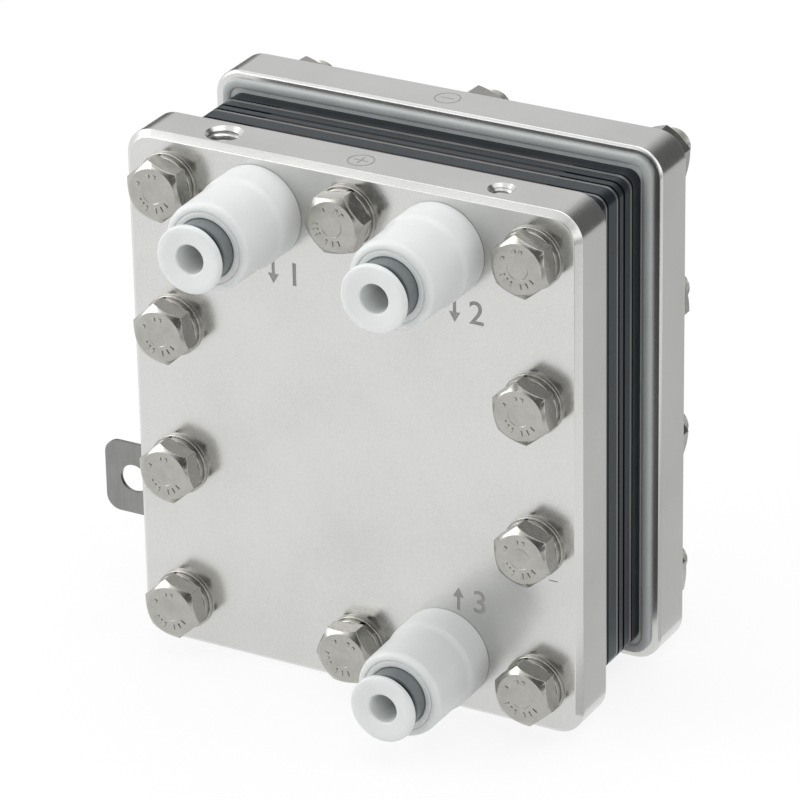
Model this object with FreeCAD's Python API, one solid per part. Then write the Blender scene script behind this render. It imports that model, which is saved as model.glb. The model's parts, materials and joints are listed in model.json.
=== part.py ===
import FreeCAD, Part
import math
import os

# Electrolyzer cell stack, in millimetres.
# X runs along the plates' width, Y from the front plate to the back plate, Z up.
# The origin is the middle of the front end plate's bottom face.

# End plates
plate_width = 110.0
plate_height = 123.0
plate_thickness = 12.7
plate_corner_radius = 6.6
outer_edge_chamfer = 1.4
inner_edge_chamfer = 0.75

# Cell stack between the plates
stack_inset = 4.75
stack_corner_radius = 3.0
front_sheet_thickness = 2.1
collector_thickness = 0.9
cell_count = 2
cell_gasket_thickness = 0.7
anode_frame_thickness = 1.75
membrane_gasket_thickness = 0.6
membrane_thickness = 0.2
cathode_frame_thickness = 2.3
bipolar_sheet_thickness = 0.7
bipolar_gasket_thickness = 0.6
bipolar_block_thickness = 3.85
back_gasket_thickness = 0.65
back_block_thickness = 3.6
back_sheet_thickness = 0.7
back_sheet_inset = 1.65

# Active area inside the frames
window_side_margin = 16.2
window_end_margin = 16.9
window_corner_radius = 2.0
membrane_lap = 2.5
mesh_clearance = 0.3
gasket_side_margin = 12.3

# Fluid ports through the stack
port_offset_x = 22.0
port_edge_distance = 13.5
stack_port_diameter = 6.0
channel_width = 5.0
channel_depth = 0.8

# Terminal tabs of the two collectors
tab_width = 17.5
tab_reach = 18.2
tab_corner_radius = 3.5
tab_centre_height = 29.2
tab_hole_diameter = 6.8
tab_hole_end_distance = 7.4

# Clamping bolts
bolt_edge_distance = 11.0
middle_bolt_edge_distance = 10.1
side_bolt_rows = 4
thread_diameter = 7.9
bolt_end_projection = 6.0
bolt_end_chamfer = 1.0
hex_across_flats = 12.55
head_height = 4.85
nut_height = 8.6
hex_corner_share = 1 / math.cos(math.radians(30))
hex_chamfer_share = 0.97
hex_chamfer_angle = 38.0
plate_hole_diameter = 8.7
washer_diameter = 13.9
washer_thickness = 0.9
spring_washer_diameter = 13.1
spring_washer_thickness = 1.3
spring_washer_gap = 0.9
spring_washer_gap_turn = 70.0
washer_radial_clearance = 0.2
nut_radial_clearance = 0.12
sleeve_wall = 0.45
sleeve_radial_clearance = 0.2
sleeve_end_clearance = 0.15

# How far each hexagon is turned, in the order that bolt_places gives
head_turns = [41.3, 42.8, 42.0, 43.4, 39.5, 39.6, 39.5, 42.0, 6.0, 10.0]
nut_turns = [34.0, 35.0, 52.0, 3.0, 21.0, 42.0, 18.0, 27.0, 8.0, 37.0]

# Threaded holes on the front plate's top, drawn at the core diameter
top_hole_offset_x = 33.5
top_hole_countersink = 1.0
power_hole_diameter = 6.6
power_hole_depth = 20.0
sense_hole_diameter = 4.1
sense_hole_depth = 13.0
drill_point_angle = 118.0

# Push-in tube fittings; heights are measured out from the front plate's face
stem_diameter = 12.9
stem_length = 9.0
stem_chamfer = 0.8
stem_radial_clearance = 0.15
stem_end_clearance = 0.6
base_barrel_diameter = 21.4
base_barrel_height = 7.4
barrel_taper_length = 1.6
front_barrel_root_diameter = 20.5
front_barrel_end_diameter = 20.1
body_height = 21.8
body_edge_rounding = 1.5
mouth_groove_diameter = 16.6
mouth_groove_width = 0.25
mouth_groove_depth = 0.35
chamber_depth = 9.4
seal_pocket_depth = 4.0
tube_stop_depth = 5.4
flow_diameter = 4.5
base_seal_inner_diameter = 13.4
base_seal_outer_diameter = 17.4
base_seal_thickness = 1.1
base_seal_recess_clearance = 0.2

# Guide ring, collet and release cap
guide_ring_diameter = 13.3
guide_ring_seating_depth = 4.8
guide_ring_projection = 3.2
guide_ring_edge = 0.3
guide_ring_fit = 0.05
collet_running_clearance = 0.35
tube_bore_diameter = 6.6
collet_diameter = 11.0
collet_stop_gap = 0.3
collet_shoulder_thickness = 1.6
collet_tip_length = 2.5
collet_slot_length = 6.4
collet_slot_width = 1.0
collet_slot_count = 4
cap_diameter = 15.4
cap_stand_off = 2.3
cap_rim_thickness = 1.6
cap_edge_rounding = 0.55
cap_dish_diameter = 12.6
cap_dish_depth = 0.8
cap_spigot_diameter = 9.2
cap_spigot_length = 9.5
cap_spigot_clearance = 0.1
tube_seal_height = 2.4
tube_seal_edge = 0.6
tube_seal_clearance = 0.1

# Places that follow from the sizes above
front_face_y = -plate_thickness / 2
stack_front_y = plate_thickness / 2
cell_thickness = (cell_gasket_thickness + anode_frame_thickness + membrane_gasket_thickness
                  + membrane_thickness + cathode_frame_thickness)
bipolar_thickness = 2 * bipolar_sheet_thickness + bipolar_gasket_thickness + bipolar_block_thickness
stack_thickness = (front_sheet_thickness + 2 * collector_thickness + cell_count * cell_thickness
                   + (cell_count - 1) * bipolar_thickness + back_gasket_thickness + back_block_thickness
                   + back_sheet_thickness)
stack_back_y = stack_front_y + stack_thickness
back_face_y = stack_back_y + plate_thickness
bolt_seat_y = front_face_y - washer_thickness - spring_washer_thickness
nut_seat_y = back_face_y + washer_thickness + spring_washer_thickness
bolt_end_y = nut_seat_y + nut_height + bolt_end_projection
bolt_length = bolt_end_y - bolt_seat_y
mid_height = plate_height / 2
stack_width = plate_width - 2 * stack_inset
stack_height = plate_height - 2 * stack_inset
sleeve_inner_diameter = thread_diameter + 2 * sleeve_radial_clearance
sleeve_outer_diameter = sleeve_inner_diameter + 2 * sleeve_wall
stack_hole_diameter = sleeve_outer_diameter + 2 * sleeve_radial_clearance
window_width = stack_width - 2 * window_side_margin
window_height = stack_height - 2 * window_end_margin
chamber_diameter = guide_ring_diameter + 2 * guide_ring_fit
collet_guide_diameter = collet_diameter + 2 * collet_running_clearance
collet_shoulder_diameter = chamber_diameter - 2 * collet_running_clearance
chamber_floor_height = body_height - chamber_depth
seal_floor_height = chamber_floor_height - seal_pocket_depth
tube_stop_height = seal_floor_height - tube_stop_depth
guide_ring_foot_height = body_height - guide_ring_seating_depth
guide_ring_top_height = body_height + guide_ring_projection
collet_shoulder_height = guide_ring_foot_height - collet_stop_gap - collet_shoulder_thickness
collet_tip_height = collet_shoulder_height - collet_tip_length
collet_slot_top_height = collet_tip_height + collet_slot_length
cap_back_height = guide_ring_top_height + cap_stand_off
cap_front_height = cap_back_height + cap_rim_thickness

# Ports: name, which side of the middle, and whether it sits at the bottom or the top
ports = {
    "oxygen": (-port_offset_x, plate_height - port_edge_distance),
    "hydrogen": (port_offset_x, plate_height - port_edge_distance),
    "water": (port_offset_x, port_edge_distance),
}

pick_tolerance = 0.01
Y_AXIS = FreeCAD.Vector(0, 1, 0)
Z_AXIS = FreeCAD.Vector(0, 0, 1)


def vector(x, y, z):
    """Gives a point or direction."""
    return FreeCAD.Vector(x, y, z)


def bolt_places():
    """Gives the bolt centres (x, z): a column down each side, then one at mid-width at each end."""
    side_x = plate_width / 2 - bolt_edge_distance
    low_z = bolt_edge_distance
    high_z = plate_height - bolt_edge_distance
    pitch = (high_z - low_z) / (side_bolt_rows - 1)
    rows = [high_z - pitch * row for row in range(side_bolt_rows)]
    side_bolts = [(side * side_x, z) for side in (-1, 1) for z in rows]
    low_middle = (0.0, middle_bolt_edge_distance)
    high_middle = (0.0, plate_height - middle_bolt_edge_distance)
    return side_bolts + [low_middle, high_middle]


def turn_for(turns, index):
    """Gives the turn of a hexagon, starting over when there are more bolts than listed turns."""
    return turns[index % len(turns)]


def rounded_outline(x_low, x_high, z_low, z_high, radius, y):
    """Gives a flat face in the plane at y: a rectangle with rounded corners."""
    diagonal = radius * (1 - math.sqrt(0.5))
    points = [
        vector(x_low + radius, y, z_low), vector(x_high - radius, y, z_low),
        vector(x_high - diagonal, y, z_low + diagonal),
        vector(x_high, y, z_low + radius), vector(x_high, y, z_high - radius),
        vector(x_high - diagonal, y, z_high - diagonal),
        vector(x_high - radius, y, z_high), vector(x_low + radius, y, z_high),
        vector(x_low + diagonal, y, z_high - diagonal),
        vector(x_low, y, z_high - radius), vector(x_low, y, z_low + radius),
        vector(x_low + diagonal, y, z_low + diagonal),
    ]
    edges = []
    for corner in range(4):
        start, end, middle = points[3 * corner: 3 * corner + 3]
        after = points[(3 * corner + 3) % len(points)]
        edges.append(Part.LineSegment(start, end).toShape())
        edges.append(Part.Arc(end, middle, after).toShape())
    return Part.Face(Part.Wire(edges))


def centred_slab(width, height, radius, y, thickness):
    """Gives a rounded slab centred on the plates, from y towards the back."""
    low_z = mid_height - height / 2
    high_z = mid_height + height / 2
    face = rounded_outline(-width / 2, width / 2, low_z, high_z, radius, y)
    return face.extrude(vector(0, thickness, 0))


def rod(diameter, x, z, y, length):
    """Gives a cylinder along +Y."""
    return Part.makeCylinder(diameter / 2, length, vector(x, y, z), Y_AXIS)


def drill(shape, places, diameter, y, length):
    """Cuts a round hole along Y at each place."""
    tools = [rod(diameter, x, z, y, length) for x, z in places]
    return shape.cut(Part.makeCompound(tools))


def turned(profile, x, z):
    """Turns a closed profile of (radius, height) about an axis along Y, with height as for the fittings."""
    points = [vector(x + radius, front_face_y - height, z) for radius, height in profile]
    face = Part.Face(Part.makePolygon(points + points[:1]))
    return face.revolve(vector(x, 0, z), Y_AXIS, 360)


def circular_edges(shape, x, z, diameter, height):
    """Picks the circular edges of a turned piece by their diameter and height."""
    found = []
    for edge in shape.Edges:
        curve = edge.Curve
        if not isinstance(curve, Part.Circle):
            continue
        off_size = abs(curve.Radius - diameter / 2)
        off_place = curve.Center.distanceToPoint(vector(x, front_face_y - height, z))
        if off_size < pick_tolerance and off_place < pick_tolerance:
            found.append(edge)
    return found


def outline_edges(shape, y):
    """Picks the edges of a slab that lie in the plane at y."""
    found = []
    for edge in shape.Edges:
        box = edge.BoundBox
        if abs(box.YMin - y) < pick_tolerance and abs(box.YMax - y) < pick_tolerance:
            found.append(edge)
    return found


def end_plate(y, outer_y, inner_y):
    """Gives an end plate with a chamfer round each face and its bolt holes."""
    plate = centred_slab(plate_width, plate_height, plate_corner_radius, y, plate_thickness)
    plate = plate.makeChamfer(outer_edge_chamfer, outline_edges(plate, outer_y))
    plate = plate.makeChamfer(inner_edge_chamfer, outline_edges(plate, inner_y))
    return drill(plate, bolt_places(), plate_hole_diameter, y, plate_thickness)


def top_hole(x, diameter, depth):
    """Gives the cutter for a countersunk threaded hole in the front plate's top."""
    radius = diameter / 2
    sink = top_hole_countersink
    tip = radius / math.tan(math.radians(drill_point_angle / 2))
    hole = Part.makeCylinder(radius, depth, vector(x, 0, plate_height - depth), Z_AXIS)
    point = Part.makeCone(0, radius, tip, vector(x, 0, plate_height - depth - tip), Z_AXIS)
    rim = Part.makeCone(radius, radius + sink, sink, vector(x, 0, plate_height - sink), Z_AXIS)
    return hole.fuse([point, rim])


def front_end_plate():
    """Gives the front plate with the three threaded ports and the two threaded holes on its top."""
    plate = end_plate(front_face_y, front_face_y, stack_front_y)
    socket_diameter = stem_diameter + 2 * stem_radial_clearance
    plate = drill(plate, ports.values(), socket_diameter, front_face_y, stem_length + stem_end_clearance)
    plate = drill(plate, ports.values(), stack_port_diameter, front_face_y, plate_thickness)
    plate = plate.cut(top_hole(-top_hole_offset_x, power_hole_diameter, power_hole_depth))
    return plate.cut(top_hole(top_hole_offset_x, sense_hole_diameter, sense_hole_depth))


def back_end_plate():
    """Gives the plain back plate."""
    return end_plate(stack_back_y, back_face_y, stack_back_y)


def stack_layer(y, thickness, with_ports=True):
    """Gives one full layer of the stack with its bolt holes and, if asked, its three ports."""
    layer = centred_slab(stack_width, stack_height, stack_corner_radius, y, thickness)
    layer = drill(layer, bolt_places(), stack_hole_diameter, y, thickness)
    if with_ports:
        layer = drill(layer, ports.values(), stack_port_diameter, y, thickness)
    return layer


def window(y, thickness):
    """Gives the cutter for the active area."""
    return centred_slab(window_width, window_height, window_corner_radius, y, thickness)


def end_bolts():
    """Gives the bolt places at mid-width, which the narrow gaskets have to go round."""
    return [place for place in bolt_places() if place[0] == 0.0]


def gasket(y, thickness, with_window=True):
    """Gives a rubber gasket that lies between the two columns of side bolts."""
    width = stack_width - 2 * gasket_side_margin
    sheet = centred_slab(width, stack_height, stack_corner_radius, y, thickness)
    sheet = drill(sheet, end_bolts(), stack_hole_diameter, y, thickness)
    if with_window:
        sheet = drill(sheet, ports.values(), stack_port_diameter, y, thickness)
        sheet = sheet.cut(window(y, thickness))
    return sheet


def channel(port_name, y):
    """Gives the cutter for the groove that leads from a port to the active area."""
    x, z = ports[port_name]
    edge = mid_height + math.copysign(window_height / 2, z - mid_height)
    low, high = sorted((z, edge))
    start = vector(x - channel_width / 2, y, low)
    return Part.makeBox(channel_width, channel_depth, high - low, start)


def cell_frame(y, thickness, open_ports):
    """Gives a cell frame: a stack layer with its window and the grooves from its own ports."""
    frame = stack_layer(y, thickness).cut(window(y, thickness))
    return frame.cut(Part.makeCompound([channel(name, y) for name in open_ports]))


def mesh_pad(y, thickness):
    """Gives the porous titanium pad that fills a window and carries the current."""
    width = window_width - 2 * mesh_clearance
    height = window_height - 2 * mesh_clearance
    return centred_slab(width, height, window_corner_radius, y, thickness)


def collector(y, tab_z):
    """Gives a current collector: a stack layer in one piece with its terminal tab, on the left."""
    plate = centred_slab(stack_width, stack_height, stack_corner_radius, y, collector_thickness)
    tab_end_x = -plate_width / 2 - tab_reach
    root_x = -stack_width / 2 + 2 * tab_corner_radius
    low_z = tab_z - tab_width / 2
    tab = rounded_outline(tab_end_x, root_x, low_z, low_z + tab_width, tab_corner_radius, y)
    plate = plate.fuse(tab.extrude(vector(0, collector_thickness, 0))).removeSplitter()
    plate = drill(plate, bolt_places(), stack_hole_diameter, y, collector_thickness)
    hole_place = (tab_end_x + tab_hole_end_distance, tab_z)
    return drill(plate, [hole_place], tab_hole_diameter, y, collector_thickness)


def cell(index, y):
    """Gives the named pieces of one cell, from its gasket to its cathode frame."""
    pieces = {}
    gasket_y = y
    anode_y = gasket_y + cell_gasket_thickness
    membrane_gasket_y = anode_y + anode_frame_thickness
    membrane_y = membrane_gasket_y + membrane_gasket_thickness
    cathode_y = membrane_y + membrane_thickness
    lap_size = (window_width + 2 * membrane_lap, window_height + 2 * membrane_lap)
    pieces["cell_gasket"] = gasket(gasket_y, cell_gasket_thickness)
    pieces["anode_frame"] = cell_frame(anode_y, anode_frame_thickness, ["water", "oxygen"])
    pieces["anode_mesh"] = mesh_pad(gasket_y, membrane_y - gasket_y)
    pieces["membrane_gasket"] = gasket(membrane_gasket_y, membrane_gasket_thickness)
    pieces["membrane"] = centred_slab(*lap_size, window_corner_radius, membrane_y, membrane_thickness)
    pieces["cathode_frame"] = cell_frame(cathode_y, cathode_frame_thickness, ["hydrogen"])
    pieces["cathode_mesh"] = mesh_pad(cathode_y, cathode_frame_thickness)
    return {name + "_" + str(index): piece for name, piece in pieces.items()}


def bipolar_set(index, y):
    """Gives the named pieces between two cells: sheet, gasket round a mesh, thick block and sheet."""
    pieces = {}
    gasket_y = y + bipolar_sheet_thickness
    block_y = gasket_y + bipolar_gasket_thickness
    back_sheet_y = block_y + bipolar_block_thickness
    pieces["bipolar_front_sheet"] = stack_layer(y, bipolar_sheet_thickness)
    pieces["bipolar_gasket"] = gasket(gasket_y, bipolar_gasket_thickness)
    pieces["bipolar_mesh"] = mesh_pad(gasket_y, bipolar_gasket_thickness)
    pieces["bipolar_block"] = stack_layer(block_y, bipolar_block_thickness)
    pieces["bipolar_back_sheet"] = stack_layer(back_sheet_y, bipolar_sheet_thickness)
    return {name + "_" + str(index): piece for name, piece in pieces.items()}


def back_insulating_sheet(y):
    """Gives the pale sheet on the back plate's inner face, which reaches out past the stack."""
    width = plate_width - 2 * back_sheet_inset
    height = plate_height - 2 * back_sheet_inset
    radius = plate_corner_radius - back_sheet_inset
    sheet = centred_slab(width, height, radius, y, back_sheet_thickness)
    return drill(sheet, bolt_places(), stack_hole_diameter, y, back_sheet_thickness)


def cell_stack():
    """Gives every piece between the end plates, from front to back."""
    pieces = {}
    y = stack_front_y
    pieces["front_insulating_sheet"] = stack_layer(y, front_sheet_thickness)
    y += front_sheet_thickness
    plain = collector(y, tab_centre_height)
    pieces["front_collector"] = drill(plain, ports.values(), stack_port_diameter, y, collector_thickness)
    y += collector_thickness
    for index in range(1, cell_count + 1):
        pieces.update(cell(index, y))
        y += cell_thickness
        if index < cell_count:
            pieces.update(bipolar_set(index, y))
            y += bipolar_thickness
    pieces["back_collector"] = collector(y, plate_height - tab_centre_height)
    y += collector_thickness
    pieces["back_gasket"] = gasket(y, back_gasket_thickness, with_window=False)
    y += back_gasket_thickness
    pieces["back_insulating_block"] = stack_layer(y, back_block_thickness, with_ports=False)
    y += back_block_thickness
    pieces["back_insulating_sheet"] = back_insulating_sheet(y)
    return pieces


def hexagon(x, z, y, length, turn):
    """Gives a six-sided bar along +Y, one corner turned by the given angle from +X."""
    corner = hex_across_flats / 2 * hex_corner_share
    angles = [math.radians(turn + 60 * side) for side in range(6)]
    points = [vector(x + corner * math.cos(angle), y, z + corner * math.sin(angle)) for angle in angles]
    return Part.Face(Part.makePolygon(points + points[:1])).extrude(vector(0, length, 0))


def chamfered_hexagon(x, z, y, length, turn, front, back):
    """Gives a hexagon bar whose corners are turned down to a cone at its front, its back or both."""
    reach = hex_across_flats / 2 * hex_corner_share + washer_thickness
    flat = hex_across_flats / 2 * hex_chamfer_share
    slope = (reach - flat) * math.tan(math.radians(hex_chamfer_angle))
    front_radius, front_slope = (flat, slope) if front else (reach, 0.0)
    back_radius, back_slope = (flat, slope) if back else (reach, 0.0)
    profile = [(0, y), (front_radius, y), (reach, y + front_slope),
               (reach, y + length - back_slope), (back_radius, y + length), (0, y + length)]
    points = []
    for radius, along in profile:
        point = vector(x + radius, along, z)
        if not points or point.distanceToPoint(points[-1]) > 1e-6:
            points.append(point)
    envelope = Part.Face(Part.makePolygon(points + points[:1])).revolve(vector(x, 0, z), Y_AXIS, 360)
    return hexagon(x, z, y, length, turn).common(envelope)


def ring(outer_diameter, inner_diameter, x, z, y, thickness):
    """Gives a flat ring round an axis along Y."""
    return rod(outer_diameter, x, z, y, thickness).cut(rod(inner_diameter, x, z, y, thickness))


def bolt(x, z, turn):
    """Gives one hexagon bolt with its head at the front."""
    head = chamfered_hexagon(x, z, bolt_seat_y - head_height, head_height, turn, front=True, back=False)
    straight = bolt_length - bolt_end_chamfer
    shank = rod(thread_diameter, x, z, bolt_seat_y, straight)
    radius = thread_diameter / 2
    end_start = vector(x, bolt_seat_y + straight, z)
    end_cone = Part.makeCone(radius, radius - bolt_end_chamfer, bolt_end_chamfer, end_start, Y_AXIS)
    return head.fuse([shank, end_cone])


def spring_washer(x, z, y, turn):
    """Gives one split spring washer, pressed flat, with its gap turned like the head or nut on it."""
    inner_diameter = thread_diameter + 2 * washer_radial_clearance
    washer = ring(spring_washer_diameter, inner_diameter, x, z, y, spring_washer_thickness)
    gap = Part.makeBox(spring_washer_diameter, spring_washer_thickness, spring_washer_gap,
                       vector(x, y, z - spring_washer_gap / 2))
    gap.rotate(vector(x, y, z), Y_AXIS, -turn - spring_washer_gap_turn)
    return washer.cut(gap)


def nut(x, z, turn):
    """Gives one hexagon nut behind the back plate's washers."""
    body = chamfered_hexagon(x, z, nut_seat_y, nut_height, turn, front=True, back=True)
    return body.cut(rod(thread_diameter + 2 * nut_radial_clearance, x, z, nut_seat_y, nut_height))


def fasteners():
    """Gives the clamping hardware: each kind is one group of separate solids."""
    groups = {name: [] for name in ("bolts", "spring_washers", "front_washers", "bolt_sleeves",
                                    "back_washers", "back_spring_washers", "nuts")}
    washer_hole = thread_diameter + 2 * washer_radial_clearance
    sleeve_y = stack_front_y + sleeve_end_clearance
    sleeve_length = stack_thickness - 2 * sleeve_end_clearance
    for index, (x, z) in enumerate(bolt_places()):
        head_turn = turn_for(head_turns, index)
        nut_turn = turn_for(nut_turns, index)
        groups["bolts"].append(bolt(x, z, head_turn))
        groups["spring_washers"].append(spring_washer(x, z, bolt_seat_y, head_turn))
        front_washer_y = front_face_y - washer_thickness
        front_washer = ring(washer_diameter, washer_hole, x, z, front_washer_y, washer_thickness)
        back_washer = ring(washer_diameter, washer_hole, x, z, back_face_y, washer_thickness)
        sleeve = ring(sleeve_outer_diameter, sleeve_inner_diameter, x, z, sleeve_y, sleeve_length)
        groups["front_washers"].append(front_washer)
        groups["back_washers"].append(back_washer)
        groups["bolt_sleeves"].append(sleeve)
        back_spring_y = back_face_y + washer_thickness
        groups["back_spring_washers"].append(spring_washer(x, z, back_spring_y, nut_turn))
        groups["nuts"].append(nut(x, z, nut_turn))
    return {name: Part.makeCompound(solids) for name, solids in groups.items()}


def fitting_body(x, z):
    """Gives a fitting's moulded body: stem, base barrel, front barrel with a grooved face, stepped bore."""
    stem = stem_diameter / 2
    seal_inner = base_seal_inner_diameter / 2 - base_seal_recess_clearance
    seal_outer = base_seal_outer_diameter / 2 + base_seal_recess_clearance
    groove_outer = mouth_groove_diameter / 2
    groove_inner = groove_outer - mouth_groove_width
    groove_floor = body_height - mouth_groove_depth
    profile = [
        (flow_diameter / 2, -stem_length), (stem - stem_chamfer, -stem_length),
        (stem, -stem_length + stem_chamfer), (stem, 0),
        (seal_inner, 0), (seal_inner, base_seal_thickness),
        (seal_outer, base_seal_thickness), (seal_outer, 0),
        (base_barrel_diameter / 2, 0), (base_barrel_diameter / 2, base_barrel_height),
        (front_barrel_root_diameter / 2, base_barrel_height + barrel_taper_length),
        (front_barrel_end_diameter / 2, body_height),
        (groove_outer, body_height), (groove_outer, groove_floor),
        (groove_inner, groove_floor), (groove_inner, body_height),
        (chamber_diameter / 2, body_height), (chamber_diameter / 2, chamber_floor_height),
        (collet_guide_diameter / 2, chamber_floor_height), (collet_guide_diameter / 2, seal_floor_height),
        (tube_bore_diameter / 2, seal_floor_height), (tube_bore_diameter / 2, tube_stop_height),
        (flow_diameter / 2, tube_stop_height),
    ]
    body = turned([point for index, point in enumerate(profile) if point != profile[index - 1]], x, z)
    mouth_edge = circular_edges(body, x, z, front_barrel_end_diameter, body_height)
    return body.makeFillet(body_edge_rounding, mouth_edge)


def guide_ring(x, z):
    """Gives the dark ring that is pressed into the body's mouth and guides the collet."""
    inner = collet_guide_diameter / 2
    outer = guide_ring_diameter / 2
    edge_height = guide_ring_top_height - guide_ring_edge
    profile = [(inner, guide_ring_foot_height), (outer, guide_ring_foot_height), (outer, edge_height),
               (outer - guide_ring_edge, guide_ring_top_height), (inner, guide_ring_top_height)]
    return turned(profile, x, z)


def collet(x, z):
    """Gives the collet: a slotted sleeve with a shoulder that stops against the guide ring."""
    bore = tube_bore_diameter / 2
    outer = collet_diameter / 2
    shoulder = collet_shoulder_diameter / 2
    shoulder_top = collet_shoulder_height + collet_shoulder_thickness
    counterbore = cap_spigot_diameter / 2 + cap_spigot_clearance
    counterbore_floor = cap_back_height - cap_spigot_length - cap_spigot_clearance
    profile = [(bore, collet_tip_height), (outer, collet_tip_height), (outer, collet_shoulder_height),
               (shoulder, collet_shoulder_height), (shoulder, shoulder_top), (outer, shoulder_top),
               (outer, cap_back_height), (counterbore, cap_back_height), (counterbore, counterbore_floor),
               (bore, counterbore_floor)]
    sleeve = turned(profile, x, z)
    slots = []
    for index in range(collet_slot_count):
        corner = vector(x, front_face_y - collet_slot_top_height, z - collet_slot_width / 2)
        slot = Part.makeBox(chamber_diameter / 2, collet_slot_length, collet_slot_width, corner)
        slot.rotate(vector(x, 0, z), Y_AXIS, 360 / collet_slot_count * index)
        slots.append(slot)
    return sleeve.cut(Part.makeCompound(slots))


def release_cap(x, z):
    """Gives the pale cap on the collet: a dished disc with a spigot that fits the collet's mouth."""
    bore = tube_bore_diameter / 2
    rim = cap_diameter / 2
    spigot = cap_spigot_diameter / 2
    spigot_end = cap_back_height - cap_spigot_length
    profile = [(bore, spigot_end), (spigot, spigot_end), (spigot, cap_back_height), (rim, cap_back_height),
               (rim, cap_front_height), (cap_dish_diameter / 2, cap_front_height),
               (bore, cap_front_height - cap_dish_depth)]
    cap = turned(profile, x, z)
    rim_edges = (circular_edges(cap, x, z, cap_diameter, cap_front_height)
                 + circular_edges(cap, x, z, cap_diameter, cap_back_height))
    return cap.makeFillet(cap_edge_rounding, rim_edges)


def tube_seal(x, z):
    """Gives the bevelled ring seal that lies in the body below the collet and grips the tube."""
    inner = tube_bore_diameter / 2
    outer = collet_guide_diameter / 2 - tube_seal_clearance
    foot = seal_floor_height
    top = foot + tube_seal_height
    edge = tube_seal_edge
    profile = [(inner + edge, foot), (outer - edge, foot), (outer, foot + edge), (outer, top - edge),
               (outer - edge, top), (inner + edge, top), (inner, top - edge), (inner, foot + edge)]
    return turned(profile, x, z)


def base_seal(x, z):
    """Gives the flat seal between the plate and a fitting's base."""
    return ring(base_seal_outer_diameter, base_seal_inner_diameter, x, z,
                front_face_y - base_seal_thickness, base_seal_thickness)


def fittings():
    """Gives the six pieces of each of the three push-in fittings."""
    makers = {"fitting_body": fitting_body, "guide_ring": guide_ring, "collet": collet,
              "release_cap": release_cap, "tube_seal": tube_seal, "base_seal": base_seal}
    pieces = {}
    for port_name, (x, z) in ports.items():
        for piece_name, make in makers.items():
            pieces[port_name + "_" + piece_name] = make(x, z)
    return pieces


def all_pieces():
    """Gives every piece of the object by its node name."""
    pieces = {"front_end_plate": front_end_plate(), "back_end_plate": back_end_plate()}
    pieces.update(cell_stack())
    pieces.update(fasteners())
    pieces.update(fittings())
    return pieces


os.makedirs("parts", exist_ok=True)
for node_name, node_shape in all_pieces().items():
    node_shape.exportStep("parts/" + node_name + ".step")
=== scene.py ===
"""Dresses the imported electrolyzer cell: fine edges, threads, moulded details, finishes, light and camera.

The sizes in the dataclasses are in millimetres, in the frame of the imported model: X along the plates' width,
Y from the front plate to the back plate, Z up. Vertices closer than WELD, in metres, count as one. OVER is
how far, in millimetres, a cutter reaches out of what it cuts.
"""

import json
import logging
import math
from collections.abc import Callable, Iterator
from contextlib import contextmanager
from dataclasses import dataclass, field
from enum import Enum

import bmesh
import bpy
from mathutils import Euler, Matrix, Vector


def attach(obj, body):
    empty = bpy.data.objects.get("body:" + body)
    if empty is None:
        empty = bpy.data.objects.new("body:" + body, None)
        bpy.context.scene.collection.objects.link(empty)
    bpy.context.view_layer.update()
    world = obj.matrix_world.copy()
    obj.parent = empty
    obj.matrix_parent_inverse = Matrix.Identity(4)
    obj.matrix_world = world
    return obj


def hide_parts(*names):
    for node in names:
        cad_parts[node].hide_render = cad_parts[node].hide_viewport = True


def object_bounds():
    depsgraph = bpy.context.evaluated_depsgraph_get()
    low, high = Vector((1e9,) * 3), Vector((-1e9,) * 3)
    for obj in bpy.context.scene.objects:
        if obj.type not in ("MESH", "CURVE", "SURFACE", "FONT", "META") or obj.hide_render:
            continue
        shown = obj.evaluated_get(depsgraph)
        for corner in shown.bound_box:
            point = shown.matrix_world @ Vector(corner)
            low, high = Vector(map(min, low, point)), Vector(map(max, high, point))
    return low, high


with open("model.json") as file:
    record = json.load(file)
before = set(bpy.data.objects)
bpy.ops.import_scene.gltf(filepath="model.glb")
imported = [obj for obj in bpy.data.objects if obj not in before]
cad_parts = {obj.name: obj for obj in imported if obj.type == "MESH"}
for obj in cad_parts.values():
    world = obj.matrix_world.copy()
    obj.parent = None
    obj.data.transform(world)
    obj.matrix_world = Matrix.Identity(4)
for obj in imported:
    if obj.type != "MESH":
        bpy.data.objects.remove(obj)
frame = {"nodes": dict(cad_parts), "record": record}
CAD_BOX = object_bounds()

log = logging.getLogger("electrolyzer")

MM = 0.001
WELD = 1e-7
OVER = 1.0
FIXED_BODY = "cell"
MID_HEIGHT = 61.5
FRONT_FACE_Y = -6.35
BORE_STEPS = 48
TURNED_STEPS = 96
HEX_HALF_DEG = 30.0
NOISE_RANGE = (0.3, 0.7)
RAMP_RANGE = (0.36, 0.58)
THREAD_CREST_END, THREAD_ROOT_START, THREAD_ROOT_END = 0.12, 0.5, 0.62
Color = tuple[float, float, float]
Place = tuple[float, float]
Corner = tuple[float, float, float]
Piece = bpy.types.Object
Socket = bpy.types.NodeSocket
Tree = bpy.types.NodeTree


class Grain(Enum):
    """Which way a finish's fine lines run, as a stretch of the pattern along X, Y and Z."""

    NONE = (1.0, 1.0, 1.0)
    ALONG_Z = (1.0, 1.0, 0.03)


class Element(Enum):
    """What is picked in edit mode: edges or faces."""

    EDGE = "EDGE"
    FACE = "FACE"


class Cut(Enum):
    """How a cutter changes a piece."""

    AWAY = "DIFFERENCE"
    COMMON = "INTERSECT"
    ADD = "UNION"


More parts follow.
